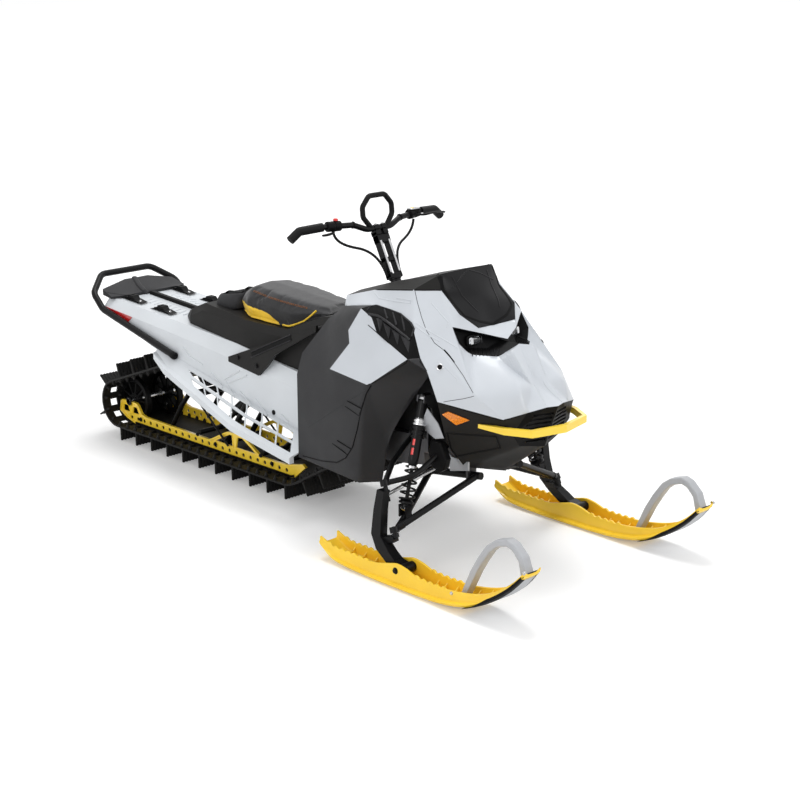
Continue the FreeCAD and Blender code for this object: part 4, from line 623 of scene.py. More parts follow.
def paddle(track, index, low, high):
    """One lug: a tapered wall with ribs on both faces and a worn, toothed top."""
    place, out = BELT[index % BELT_STEPS]
    ahead = Vector((out.z, 0, -out.x))
    ribs = max(3, round((high - low) * TRACK_HALF / PADDLE_RIB_PITCH))
    rows = []
    for i in range(4 * ribs + 1):
        share = low + (high - low) * i / (4 * ribs)
        half = PADDLE_RIB_HALF if i % 4 in (1, 2) else PADDLE_WALL_HALF
        top = BELT_THICKNESS + LUG_HEIGHT - (PADDLE_TOOTH if i % 4 in (0, 3) else 0)
        side = Vector((0, share * TRACK_HALF, 0))
        rows.append([place + side + out * lift + ahead * half * width * turn
                     for lift, width, turn in ((BELT_THICKNESS - 2, 1.5, -1), (BELT_THICKNESS + 12, 1.0, -1),
                                               (top, 0.62, -1), (top, 0.62, 1),
                                               (BELT_THICKNESS + 12, 1.0, 1), (BELT_THICKNESS - 2, 1.5, 1))])
    track.solid(rows)


def make_track():
    track = Piece("track_belt", "chassis", TRACK_RUBBER)
    for low, high in BELT_BANDS:
        belt_band(track, low, high)
    for low, high in BELT_BRIDGES:
        belt_bridges(track, low, high)
    for row in range(LUG_ROWS):
        index = row * 4
        for low, high in PADDLE_SPANS[row % 2]:
            paddle(track, index, low, high)
        place, out = BELT[index]
        for share in NUB_SHARES:
            track.lathe(place + ACROSS * share * TRACK_HALF, -out, NUB_PROFILE, sides=8)
        for share in CLIP_SHARES:
            track.solid([[across_belt(index + step, share + shift, lift) for step, lift in CLIP_SECTION]
                         for shift in (-0.02, 0.02)])
    track.done(replaces=("track",), smooth_angle=30)


# Skis

SKI_MIDDLE = 462
SKI_STATIONS = ((-400, 50, 46, 56, 84), (-330, 60, 14, 25, 62), (-250, 66, 4, 16, 60), (-120, 70, 0, 12, 60),
                (-45, 72, 0, 12, 76), (0, 72, 0, 12, 86), (45, 72, 0, 12, 80), (110, 72, 0, 12, 62),
                (250, 74, 8, 20, 62), (367, 72, 32, 44, 80), (450, 66, 72, 84, 108), (530, 56, 130, 140, 158),
                (592, 40, 196, 204, 212))
SKI_START, SKI_STEP, SKI_SECTIONS = -400, 8, 125
SKI_RIBS = (-300, -240, -180, 130, 170, 225, 330, 390)
WALL_INSIDE, WALL_THICKNESS = 36.5, 9
TOOTHED, TOOTH_HEIGHT = ((-360, -130), (95, 250)), 6
RIB_STATIONS = ((-1, 26), (-0.6, 15), (0, 11), (0.6, 15), (1, 26))


def smooth_station(table, x):
    """The row of a table at x, on a smooth curve through its rows."""
    index = max(0, min(len(table) - 2, sum(row[0] <= x for row in table) - 1))
    before, here, there, after = (table[max(0, min(len(table) - 1, index + i))] for i in (-1, 0, 1, 2))
    span = there[0] - here[0]
    t = min(1, max(0, (x - here[0]) / span))
    row = [x]
    for column in range(1, len(here)):
        slope_here = (there[column] - before[column]) / max(1, there[0] - before[0]) * span
        slope_there = (after[column] - here[column]) / max(1, after[0] - here[0]) * span
        row.append((2 * t ** 3 - 3 * t ** 2 + 1) * here[column] + (t ** 3 - 2 * t ** 2 + t) * slope_here
                   + (3 * t ** 2 - 2 * t ** 3) * there[column] + (t ** 3 - t ** 2) * slope_there)
    return row


def ski_section(x, side):
    """One section of the ski: keeled sole, fluted flanks and two inner walls with a toothed top."""
    _, half, low, floor, top = smooth_station(SKI_STATIONS, x)
    inside = min(half - WALL_THICKNESS - 4, WALL_INSIDE)
    toothed = any(first < x < last for first, last in TOOTHED)
    tooth = TOOTH_HEIGHT if toothed and round(x / SKI_STEP) % 4 in (0, 1) else 0
    wall_top = top - 2 + tooth
    rise = floor - low
    right_half = [(10, low), (half * 0.62, low + 0.5), (half * 0.82, low + 2.5),
                  (half * 0.93, low + rise / 2),
                  (half * 0.95, low + rise * 0.8), (half, floor + 1), (half - 0.5, floor + 4),
                  (inside + WALL_THICKNESS + 5, floor + 6), (inside + WALL_THICKNESS + 1.5, floor + 11),
                  (inside + WALL_THICKNESS, wall_top - 2), (inside + WALL_THICKNESS - 2, wall_top),
                  (inside + 2, wall_top), (inside, wall_top - 2), (inside - 1, floor + 5),
                  (inside - 5, floor + 1), (8, floor)]
    points = [(y, z) for y, z in right_half] + [(-y, z) for y, z in reversed(right_half)]
    return [(x, SKI_MIDDLE * side + y, z) for y, z in points]


def make_ski(side, name):
    ski = Piece(name + "_shell", name, YELLOW_PLASTIC)
    middle = SKI_MIDDLE * side
    ski.solid([ski_section(SKI_START + SKI_STEP * i, side) for i in range(SKI_SECTIONS)])
    for x in SKI_RIBS:
        _, half, _, floor, _ = smooth_station(SKI_STATIONS, x)
        reach = min(half - WALL_THICKNESS - 2, WALL_INSIDE) + 1
        ski.solid([[(x + dx, middle + reach * share, floor + lift) for dx, lift in
                    ((-4, -2), (-2.5, rise), (2.5, rise), (4, -2))] for share, rise in RIB_STATIONS])
    SKINS[name] = ski.done(replaces=(name,), smooth_angle=38)


# Lines read from the photograph, in its pixels; each is laid on the right side and mirrored

SEEN = {
    "hood_seam": [(414.7, 290.2), (417.3, 302.4), (422, 318.8), (426.5, 331), (434.7, 343.3), (442.9, 349.4),
                  (452, 359.6), (463.3, 375.9), (473, 393)],
    "insert_edge": [(474, 396.2), (463.3, 398.8), (450, 400.8), (443.5, 402.0)],
    "hood_knob": (439.8, 367.3),
    "hood_slot": [(444, 349.8), (448.5, 354.6), (454.4, 362.6)],
    # Gaps between panels, drawn as black strips that are painted shade.
    "panel_gap_shade": [[(407.6, 358.3), (406.1, 363), (390, 373), (374.3, 382.4), (366.5, 385.3)],
                   [(368, 325), (374.3, 330.4), (388.2, 342.8), (398, 349.5), (406, 354.5)],
                   [(419.6, 361.4), (426.8, 370.7), (431.6, 389.3), (435.4, 401.7)],
                   [(434.7, 402), (441.7, 403.6), (470, 412.2), (501.4, 420.6), (517, 416.8)],
                   [(414.3, 329), (412.5, 338), (416, 349), (420.8, 361.4)]],
    "hood_creases": [[(374, 291.7), (379, 298.2), (395, 301.2), (410, 303.3), (411.6, 300.4), (396.5, 298)],
                     [(431.6, 303.3), (440, 313), (448.7, 322.7), (447.1, 327.5)],
                     [(413.3, 321.1), (428, 330.5), (444, 339.7), (458, 348)],
                     [(415.4, 326.6), (427, 334.5), (439.4, 341.3)],
                     [(437.8, 361.4), (447, 369), (456.4, 378.5), (457.6, 382.2)],
                     [(504, 349.3), (512, 365), (527.5, 377.7)], [(533.7, 384), (546.9, 406.5)]],
    "screen_creases": [[(465.3, 268.8), (479.6, 272.9), (492.9, 279.4)],
                       [(452, 277), (462, 296), (478, 312)]],
    "dash_edge": [(375.2, 289.6), (400, 290), (425, 290.3), (441, 290.2)],
    "dash_front": [(437.5, 274.5), (440.5, 281), (443.3, 289.6)],
    "screen_border": [(441.2, 276), (441.8, 288), (456.5, 306.5), (464.9, 315.7), (479.6, 321.2),
                      (493.4, 323.8)],
    "vent_bars": [((384.5, 309.5), (387.5, 319)), ((393, 312.6), (396.5, 325)), ((402, 316.6), (405, 331))],
    "vent_frame": [(367.4, 310.4), (370.6, 306.6), (376.8, 305.8), (391.3, 310.4), (400.8, 314), (411.3, 323),
                   (413.9, 328.6), (411.8, 336.5)],
    "vent_floor": [(368.5, 314.2), (371.8, 314.8), (377.8, 316), (386, 321), (393.5, 326.4), (402, 333.6),
                   (406, 336.6), (409.8, 340.2)],
    "vent_fins": [((376.2, 318.5), (382.6, 320.8), (380, 332.5)),
                  ((382.4, 321.6), (390.6, 328), (388.8, 339)),
                  ((391, 328.4), (399.4, 334.2), (397.8, 345)),
                  ((399.2, 334), (409.8, 341), (408.6, 352.6))],
    "side_piping": [(371, 385.5), (366, 394), (361.6, 408), (357, 430), (352.5, 447), (345.5, 458),
                    (336.7, 462.5), (322, 461), (303, 456)],
    "straps": [(((347.6, 401), (361.4, 408.7)), ((345.4, 406.1), (358.8, 415.4))),
               (((337.4, 440.6), (351, 449.0)), ((332.8, 443.5), (347.5, 454.5)))],
    "side_crease": [(365, 390), (345, 403), (308, 427)],
    "tunnel_lines": [[(183.3, 346.8), (189.1, 356), (202.3, 364.6)],
                     [(210.9, 372), (216.6, 379), (222.4, 388)],
                     [(225.8, 381.2), (230.4, 389.3), (234.4, 397.3)], [(224.7, 379), (239.6, 370.9)],
                     [(229.2, 382.4), (247, 375.5)], [(240.4, 391.5), (246.8, 399.1), (251.3, 406.1)],
                     [(255.7, 399.1), (262.1, 408), (267.2, 415.7)], [(281.2, 414.4), (288.9, 422)]],
    "tunnel_plug": (273.7, 412.4),
    "brace_bolts": [(237.9, 357.5), (256.5, 366)],
    "brace_slot": [(251.5, 354.5), (272, 345.5), (291, 337.5)],
    "belly_panel": [(447, 433), (470, 435), (496, 436.5), (500, 448), (478, 452), (453, 457), (447, 433)],
    "tail_rib": [(134.5, 277.5), (139, 285), (146.5, 293)],
    "tail_creases": [[(103, 292), (118, 294), (134, 296.5)], [(149, 292), (166, 288), (176, 286)]],
    "lamp_ribs": [((470 + 4.1 * i, 347.5 + 0.35 * i), (472.5 + 3.6 * i, 356.3 - 0.1 * i)) for i in range(8)],
}
HOOD = ("hood", "hood_sides")
VENT_SOLIDS = ("side_vents", "upper_panels") + HOOD
VENT_FIN_RISE = 13


def trace(piece, key, names, width, height, slot=0):
    """Raised strips on these solids along the line, or each of the lines, that SEEN holds here."""
    single = isinstance(SEEN[key][0][0], (int, float))
    for line in [SEEN[key]] if single else SEEN[key]:
        piece.bead(seen_line(line, *names), width, height, slot)


def make_hood_seams():
    seams = Piece("hood_seams_and_gap_shade", "chassis", BLACK_PLASTIC)
    trace(seams, "hood_seam", HOOD, 2.0, 0.5)
    trace(seams, "insert_edge", HOOD, 2.0, 0.5)
    # The hood's slot and the gaps between panels are black strips: painted shade for the shadow in them.
    trace(seams, "hood_slot", HOOD, 5, 0.8)
    trace(seams, "panel_gap_shade", ("upper_panels", "side_panels", "side_vents", "belly") + HOOD, 3.6, 1.0)
    trace(seams, "dash_edge", ("dash",) + HOOD, 4.5, 1.2)
    trace(seams, "dash_front", ("dash", "windscreen") + HOOD, 13, 1.4)
    seams.both_sides().done()


def make_hood_creases():
    creases = Piece("hood_creases", "chassis", LIGHT_PANEL, SCREEN)
    trace(creases, "hood_creases", HOOD, 5, 1.1)
    trace(creases, "screen_creases", ("windscreen",), 6, 1.4, 1)
    creases.both_sides().done(smooth_angle=30)


def make_hood_knobs():
    knob = Piece("hood_knobs", "chassis", BLACK_PLASTIC, BRIGHT_STEEL)
    place, normal = seen(SEEN["hood_knob"], *HOOD)
    knob.lathe(place, normal, ((-1, 12), (1.5, 12), (2.5, 10.5)), 1)
    knob.lathe(place, normal, ((1, 9), (4, 9), (6, 6)), 0)
    knob.both_sides().done()


def make_screen_border():
    border = Piece("windscreen_border", "chassis", BLACK_PLASTIC)
    trace(border, "screen_border", ("windscreen", "hood"), 12, 1.6)
    border.both_sides().done()


def make_vent_details():
    """A framed opening with bars above a ridge, and folded slats below it. The opening is filled with a black
    sheet, painted shade for its dark inside.
    """
    vents = Piece("side_vent_fins", "chassis", DARK_PLASTIC, BLACK_PLASTIC)
    frame_line, floor_line = SEEN["vent_frame"], SEEN["vent_floor"]
    middle = [((x1 + x2) / 2, (z1 + z2) / 2) for (x1, z1), (x2, z2) in zip(frame_line, floor_line)]
    lines = [[seen(pixel, *VENT_SOLIDS) for pixel in pixels] for pixels in (frame_line, middle, floor_line)]
    # A black sheet over the opening between frame and floor: painted shade for the dark inside of the vent.
    for upper, lower in zip(lines, lines[1:]):
        vents.patch(upper, lower, 3, 1, 2)
    trace(vents, "vent_frame", VENT_SOLIDS, 6, 5)
    trace(vents, "vent_floor", VENT_SOLIDS, 10, 6)
    trace(vents, "vent_bars", VENT_SOLIDS, 8, 4)
    for pixels in SEEN["vent_fins"]:
        (left, normal), (right, _), (low, _) = (seen(pixel, *VENT_SOLIDS) for pixel in pixels)
        crest = left.lerp(right, 0.55) + normal * VENT_FIN_RISE
        back = normal * 4
        vents.add([left, crest, right, low + normal * 2, left - back, right - back, low - back],
                  [(0, 1, 3), (1, 2, 3), (4, 0, 3, 6), (2, 5, 6, 3), (0, 4, 5, 2, 1)])
    vents.both_sides().done(smooth_angle=20)


def make_side_panel_details():
    piping = Piece("side_panel_piping_and_strap_shade", "chassis", BLACK_PLASTIC)
    trace(piping, "side_piping", ("side_panels", "upper_panels"), 5, 2.5)
    straps = Piece("side_panel_straps", "chassis", DARK_PLASTIC)
    for edges in SEEN["straps"]:
        first, second = ([seen(pixel, "side_panels") for pixel in edge] for edge in edges)
        straps.patch(first, second, 2.5)
        # Black strips along each strap's edges: painted shade for the shadow at those edges.
        for edge in edges:
            piping.bead(seen_line(edge, "side_panels"), 3.5, 3.5)
    trace(straps, "side_crease", ("side_panels",), 4, 0.9)
    straps.both_sides().done()
    piping.both_sides().done()


CHEVRONS, CHEVRON_START, CHEVRON_PITCH = 9, -2010, 34


def make_tunnel_marks():
    marks = Piece("tunnel_embossing", "chassis", TUNNEL_PAINT)
    trace(marks, "tunnel_lines", ("tunnel", "running_boards"), 7, 3.6)
    for i in range(CHEVRONS):
        x = CHEVRON_START + CHEVRON_PITCH * i
        line = [hit_from_above(x + 14 * share, -52 - 46 * share, "tunnel") for share in (0, 0.5, 1)]
        marks.bead(line, 8, 3.4)
    marks.both_sides().done()


def make_plugs():
    plug = Piece("tunnel_plugs", "chassis", BLACK_PLASTIC)
    place, normal = seen(SEEN["tunnel_plug"], "tunnel", "running_boards")
    plug.lathe(place, normal, ((-1, 10), (2, 10), (4, 7)))
    plug.both_sides().done()
    caps = Piece("grab_bar_caps", "chassis", BLACK_PLASTIC)
    caps.lathe((-1648, -219, 479.5), (1, 0, -0.18), ((-2, 15.5), (14, 16), (20, 12), (22, 6)))
    caps.both_sides().done()


def make_brace_details():
    bolts = Piece("seat_brace_bolts", "chassis", BLACK_STEEL, BLACK_PLASTIC, DARK_PLASTIC)
    for pixel in SEEN["brace_bolts"]:
        bolts.bolt(*seen(pixel, "seat_brackets", "tunnel"), 9)
    # The slot is a black strip, painted shade for the recess; a raised rim runs above and below it.
    line = seen_line(SEEN["brace_slot"], "seat_brackets", "seat_base", "side_panels")
    bolts.bead(line, 20, 1.2, 1)
    for rise in (-11, 11):
        bolts.bead([(place + UP * rise, normal) for place, normal in line], 4.5, 4.5, 2)
    bolts.both_sides().done()


def make_belly_rim():
    rim = Piece("belly_panels", "chassis", BLACK_PLASTIC)
    trace(rim, "belly_panel", ("belly", "grille") + HOOD + ("side_panels",), 7, 3.2)
    rim.both_sides().done()


# Lamps

LAMP_CENTRE, LAMP_WIDE, LAMP_HIGH = (473.5, 340.2), 27, 14
LAMP_FORWARD, LAMP_ACROSS = Vector((0.96, -0.24, 0.1)).normalized(), Vector((0.24, 0.97, 0)).normalized()
LAMP_UP = LAMP_FORWARD.cross(LAMP_ACROSS).normalized()
CUP_STAGES = ((-12, 0.95), (6, 1.0), (14, 1.0), (15, 0.96), (8, 0.9), (3, 0.88))
GLASS_STAGES = ((2, 0.88), (9, 0.86), (11, 0.7), (12, 0.3))
BLOCK_STAGES, BLOCK_WIDE, BLOCK_HIGH = ((8, 1.0), (15, 1.0), (16.5, 0.86)), 0.26, 0.9
RIM_STAGES = ((-4, 7), (7, 6), (8, 4), (8, 1))


def oval(centre, across, up, half_width, half_height, power=4, count=28):
    """A squared oval round a centre."""
    ring = []
    for i in range(count):
        turn = 2 * math.pi * i / count
        wide, high = math.cos(turn), math.sin(turn)
        ring.append(centre + across * math.copysign(abs(wide) ** (2 / power), wide) * half_width
                    + up * math.copysign(abs(high) ** (2 / power), high) * half_height)
    return ring


def lamp_ovals(centre, stages, power=4):
    """Ovals square to the lamp's view, each with its place ahead and its half width and height."""
    return [oval(centre + LAMP_FORWARD * ahead, LAMP_ACROSS, LAMP_UP, wide, high, power)
            for ahead, wide, high in stages]


def make_lamps():
    """An oblong projector in a chrome cup in each well."""
    lamps = Piece("headlight_projectors", "chassis", CHROME, LAMP_GLASS, BLACK_PLASTIC)
    back, _ = seen(LAMP_CENTRE, "lamp_housing")
    lamps.solid(lamp_ovals(back, [(ahead, LAMP_WIDE * share, LAMP_HIGH * share ** 0.5)
                                  for ahead, share in CUP_STAGES]), 0)
    lamps.solid(lamp_ovals(back, [(ahead, LAMP_WIDE * share, LAMP_HIGH * share)
                                  for ahead, share in GLASS_STAGES], 3), 1)
    block = back - LAMP_ACROSS * LAMP_WIDE * 0.62
    lamps.solid(lamp_ovals(block, [(ahead, LAMP_WIDE * BLOCK_WIDE * share, LAMP_HIGH * BLOCK_HIGH * share)
                                   for ahead, share in BLOCK_STAGES], 6), 0)
    lamps.rows(lamp_ovals(back, [(ahead, LAMP_WIDE + grow, LAMP_HIGH + grow) for ahead, grow in RIM_STAGES]),
               2, closed=True)
    lamps.both_sides().done(replaces=("headlights",))


def make_lamp_ribs():
    ribs = Piece("headlight_ribs", "chassis", BLACK_PLASTIC)
    trace(ribs, "lamp_ribs", ("lamp_housing", "hood"), 3.5, 3)
    ribs.both_sides().done()


# Front suspension

SHOCK_FOOT, SHOCK_HEAD = Vector((-116, -352, 224)), Vector((-150, -226, 596))
SHAFT = ((12, 7), (150, 7))
DAMPER = (
    ((-6, 15), (2, 17), (12, 15)),
    ((14, 22), (16, 27), (22, 27), (25, 22), (30, 18)),
    ((152, 14), (160, 18.5), (172, 19), (250, 19)),
    ((250, 20), (251, 23), (257, 23), (258, 19.5), (266, 19.5), (267, 23.5), (274, 23.5), (275, 19),
     (282, 19), (283, 22.5), (294, 22.5), (296, 18)),
    ((318, 18.5), (384, 18.5), (388, 15)),
)
COLLARS = (
    ((140, 15), (142, 19), (150, 19), (152, 15)),
    ((296, 20), (297, 24.5), (303, 24.5), (304, 21), (308, 21), (309, 24), (315, 24), (316, 18.5),
     (322, 18.5), (324, 14)),
)
COIL_START, COIL_END, COIL_TURNS, COIL_WIRE = 28, 150, 5.5, 3.6
COIL_FOOT_RADIUS, COIL_HEAD_RADIUS = 26, 21
MARK_RADIUS, MARK_TURN, MARK_BANDS = 19.4, 3.15, ((190, 214), (224, 246))
EYE_PROFILE = ((-12.5, 12.5), (-11.5, 13), (11.5, 13), (12.5, 12.5))
SHOCK_AXIS = (SHOCK_HEAD - SHOCK_FOOT).normalized()


def on_shock(height, turn, radius):
    """A place round the right shock, this high along it."""
    return SHOCK_FOOT + SHOCK_AXIS * height + spoke(*frame_of(SHOCK_AXIS), turn) * radius


def make_shock_bodies():
    bodies = Piece("front_shock_bodies", "chassis", BLACK_STEEL, BRIGHT_STEEL, STOP_RED)
    for profile in DAMPER:
        bodies.lathe(SHOCK_FOOT, SHOCK_AXIS, profile, 0, 32)
    bodies.lathe(SHOCK_FOOT, SHOCK_AXIS, SHAFT, 0, 20)
    for profile in COLLARS:
        bodies.lathe(SHOCK_FOOT, SHOCK_AXIS, profile, 1, 32)
    for place in (SHOCK_FOOT, SHOCK_HEAD):
        bodies.lathe(place, ALONG, EYE_PROFILE, 1, 24)
        bodies.bolt(place + ALONG * 12, ALONG, 6.5, 0)
    for low, high in MARK_BANDS:
        bodies.rows([[on_shock(height, MARK_TURN + 0.5 * step / 4, MARK_RADIUS) for step in range(5)]
                     for height in (low, (low + high) / 2, high)], 2)
    bodies.both_sides().done(replaces=("front_shocks",))


def make_coils():
    coils = Piece("front_shock_coils", "chassis", BLACK_STEEL)
    count = int(COIL_TURNS * 24)
    path = []
    for i in range(count + 1):
        turns = COIL_TURNS * i / count
        eased = min(1, max(0, (turns - 0.5) / (COIL_TURNS - 1)))
        height = COIL_START + COIL_WIRE + (COIL_END - COIL_START - 2 * COIL_WIRE) * eased
        radius = COIL_FOOT_RADIUS + (COIL_HEAD_RADIUS - COIL_FOOT_RADIUS) * eased ** 2
        path.append(on_shock(height, 2 * math.pi * turns, radius))
    coils.tube(path, COIL_WIRE, 0, 10)
    coils.both_sides().done(replaces=("shock_springs",))


# Each tower plate: its outline on the photograph, the plane it is drawn in, thickness, slot and chamfer
TOWER_PLATES = (
    ([(427.6, 408), (438.4, 423.2), (444.1, 438.4), (435.9, 439), (424.5, 429.5), (422.6, 420.7)],
     -247, 4, 0, 2),
    ([(436, 438), (444.7, 440.9), (451, 458.7), (448.5, 468.8), (443.5, 471.3), (436, 465), (433, 450)],
     -212, 26, 1, 4),
    ([(446, 446), (452, 456), (469.4, 461.8), (469.4, 470.7), (451, 470.7)], -150, 6, 0, 2))


def make_shock_tower():
    """The gusset plate behind the shock, the block that holds the upper arm and the plate under the nose."""
    tower = Piece("shock_tower_plates", "chassis", CAST_ALUMINIUM, BLACK_PLASTIC)
    for outline, plane, thickness, slot, chamfer in TOWER_PLATES:
        tower.plate([seen_at(pixel, plane) for pixel in outline], -ACROSS, thickness, slot, chamfer)
    tower.both_sides().done()


# Steering

POST_FOOT, POST_TOP = Vector((-534, 0, 940)), Vector((-622, 0, 1112))
POST_AXIS = (POST_TOP - POST_FOOT).normalized()
POST_FRONT = Vector((POST_AXIS.z, 0, -POST_AXIS.x))
POST_BLOCKS = ((0, 18, 15), (66, 84, 12), (140, 172, 15))
# Cheeks, bright strips and the two halves of the clamp: along the post, ahead of it, aside, slot and chamfer
POST_CHEEKS = (((4, 186), (-13, 13), (15, 29), 0, 2), ((22, 150), (12.6, 15.5), (17, 26), 1, 1),
               ((172, 192), (-17, 17), (7, 29), 0, 2), ((194, 213), (-16, 16), (7, 29), 0, 2))
POST_TUBE = ((-119, 14), (-118, 15), (4, 15))
POST_COLLAR = ((-30, 15.5), (-28, 20), (-6, 20), (-4, 24), (2, 24))


def post_point(along, ahead, side=0):
    """A place on the steering post: along it from its foot, ahead of its middle, and to one side."""
    return POST_FOOT + POST_AXIS * along + POST_FRONT * ahead + Vector((0, side, 0))


def box_on_post(piece, along, ahead, side, slot=0, chamfer=2):
    """A block on the post between pairs of lengths along it, ahead of it and to one side."""
    heights = (along[0], along[0] + chamfer, along[1] - chamfer, along[1])
    piece.solid([[post_point(height, x, y) for x, y in
                  ((ahead[0] + shrink, side[0] + shrink), (ahead[1] - shrink, side[0] + shrink),
                   (ahead[1] - shrink, side[1] - shrink), (ahead[0] + shrink, side[1] - shrink))]
                 for height, shrink in zip(heights, (chamfer, 0, 0, chamfer))], slot)


def make_post():
    """Two cheeks joined by blocks, with bright strips down their fronts."""
    post = Piece("steering_riser", "steering", BLACK_STEEL, BRIGHT_STEEL)
    for low, high, ahead in POST_BLOCKS:
        box_on_post(post, (low, high), (-ahead, ahead), (-29, 29))
    for side in (-1, 1):
        for along, ahead, aside, slot, chamfer in POST_CHEEKS:
            box_on_post(post, along, ahead, sorted(side * y for y in aside), slot, chamfer)
        for ahead in (-12, 12):
            post.lathe(post_point(211, ahead, side * 18), POST_AXIS, ((0, 4.5), (5, 4.5), (6, 3.5)), 1, 12)
    post.lathe(POST_FOOT, POST_AXIS, POST_TUBE, 1, 28)
    post.lathe(POST_FOOT, POST_AXIS, POST_COLLAR, 0, 28)
    post.done(replaces=("steering_post",))


# Hand controls, all measured from the middle of the handlebar clamp

BLOCK_INNER, BLOCK_OUTER = (-21, 175, 34), (-30, 235, 36)
THROTTLE_PROFILE = ((0, 16), (2, 19), (26, 19.5), (28, 17), (31, 17), (33, 19.5), (58, 19), (60.5, 16))
BUTTON_NECK, BUTTON = ((0, 9), (5, 9), (6, 7)), ((0, 6), (1, 9), (5, 9.5), (8, 8), (9, 5))
THUMB_LEVER = (((-20, -212, 22), 6), ((-6, -222, 18), 6), ((1, -232, 16), 6.5), ((0, -255, 13), 7.5),
               ((-4, -276, 12), 6))
BRAKE_PROFILE = ((0, 16), (2, 19), (20, 19), (22, 16.5), (34, 16.5), (36, 19), (58, 18), (60.5, 15))
FLUID_CUP, FLUID_LID = ((-14, 0.7), (-6, 0.92), (3, 1.0), (6, 1.0)), ((6, 1.0), (8, 1.0), (9, 0.94))
BRAKE_LEVER = (((-10, 196, 33), 5), ((6, 204, 33), 5.5), ((14, 216, 32.5), 6), ((14, 236, 32), 6.5),
               ((8, 268, 32), 6), ((3, 300, 31), 5.5), ((-6, 334, 27), 5.5), ((-17, 363, 22), 6))
TIE_PROFILE = ((-3, 12.4), (-2, 13.4), (2, 13.4), (3, 12.4))


def on_bar(x, y, z, side=1):
    return POST_TOP + Vector((x, y * side, z))


def lever(piece, stations, sides, flat):
    """A flattened bar through places on the bar, each with its radius."""
    piece.tube([on_bar(*place) for place, _ in stations], [radius for _, radius in stations], 0, sides,
               flat=flat)


def make_throttle():
    block = Piece("throttle_housing", "steering", BLACK_PLASTIC, STOP_RED, BRIGHT_STEEL)
    inner, outer = on_bar(*BLOCK_INNER, RIGHT), on_bar(*BLOCK_OUTER, RIGHT)
    axis = (outer - inner).normalized()
    block.lathe(inner, axis, THROTTLE_PROFILE, 0, 28)
    rise = axis.cross(ALONG).normalized()
    top = inner.lerp(outer, 0.34)
    block.lathe(top + rise * 15, rise, BUTTON_NECK, 0, 20)
    block.lathe(top + rise * 20, rise, BUTTON, 1, 24)
    block.bolt(inner.lerp(outer, 0.75) + rise * 18, rise, 3, 2)
    lever(block, THUMB_LEVER, 12, 0.6)
    block.done(replaces=("throttle_block",), smooth_angle=40)


def make_brake():
    brake = Piece("brake_housing", "steering", BLACK_PLASTIC, BRIGHT_STEEL, YELLOW_PLASTIC)
    inner, outer = on_bar(*BLOCK_INNER, LEFT), on_bar(*BLOCK_OUTER, LEFT)
    brake.lathe(inner, (outer - inner).normalized(), BRAKE_PROFILE, 0, 28)
    cup = inner.lerp(outer, 0.5) + Vector((2, 0, 12))
    for stages, wide, deep, slot in ((FLUID_CUP, 26, 15, 0), (FLUID_LID, 25, 14, 1)):
        brake.solid([oval(cup + UP * height, ACROSS, ALONG, wide * share, deep * share, 5)
                     for height, share in stages], slot)
    brake.lathe(cup + Vector((0, -8, 6)), UP, ((0, 7), (3.4, 7), (4.4, 5.5)), 2, 20)
    lever(brake, BRAKE_LEVER, 14, 0.7)
    brake.lathe(on_bar(12, 214, 37), UP, ((0, 5.5), (2.5, 5.5), (3.2, 4)), 1, 18)
    brake.done(replaces=("brake_cylinder",), smooth_angle=40)


def make_cable_ties():
    ties = Piece("cable_ties", "steering", BLACK_PLASTIC)
    for side in (-1, 1):
        ties.lathe(on_bar(-12, 120, 31, side), (-0.11, side, 0.2), TIE_PROFILE, 0, 24)
    ties.done()


# Seat: a cushion blown up as cloth, then its cover's parts, piping and stitches

CUSHION_VOXEL, CUSHION_INSET, CUSHION_CAP = 0.006, 0.003, 0.010
CUSHION_FRAMES, CUSHION_SMOOTHING, UNDERSIDE = 20, 3, -0.6
CLOTH = {"quality": 5, "mass": 0.25, "tension_stiffness": 30, "compression_stiffness": 30,
         "use_pressure": True, "uniform_pressure_force": 4}
SEAT_SEAM = [(252.8, 290.5), (262, 294.2), (269, 297.2), (286, 302.6), (306.8, 308)]
SEAT_WEDGE = [(244.2, 301), (267, 312.5), (289, 325.8), (246, 320.2)]
SEAT_PIPING = [(283, 325), (289.5, 326.2), (296, 324.4), (304, 321), (311, 315.6), (316.5, 311)]
WEDGE_REACH = ((40, 0), (0, 0), (0, 30), (40, 30))
COVER_SIDE = 60


def blow_up(piece):
    """Cloth under pressure: every point stays within the cap of where it started, and the underside stays."""
    start = [vertex.co.copy() for vertex in piece.data.vertices]
    under = [vertex.normal.z < UNDERSIDE for vertex in piece.data.vertices]
    cloth = piece.modifiers.new("cloth", "CLOTH")
    for name, value in CLOTH.items():
        setattr(cloth.settings, name, value)
    cloth.settings.effector_weights.gravity = 0
    cloth.collision_settings.use_collision = False
    cloth.point_cache.frame_start, cloth.point_cache.frame_end = 1, CUSHION_FRAMES
    scene = bpy.context.scene
    for frame_number in range(1, CUSHION_FRAMES + 1):
        scene.frame_set(frame_number)
    blown = piece.evaluated_get(bpy.context.evaluated_depsgraph_get()).data
    ends = [vertex.co.copy() for vertex in blown.vertices]
    piece.modifiers.remove(cloth)
    scene.frame_set(1)
    for vertex, rest, end, low in zip(piece.data.vertices, start, ends, under):
        move = end - rest
        if move.length > CUSHION_CAP:
            move = move.normalized() * CUSHION_CAP
        vertex.co = rest if low else rest + move


def inside(point, outline):
    """Whether a flat point lies within an outline."""
    crossings = 0
    for (x1, z1), (x2, z2) in zip(outline, outline[1:] + outline[:1]):
        if (z1 > point[1]) != (z2 > point[1]) and point[0] < x1 + (point[1] - z1) * (x2 - x1) / (z2 - z1):
            crossings += 1
    return crossings % 2 == 1


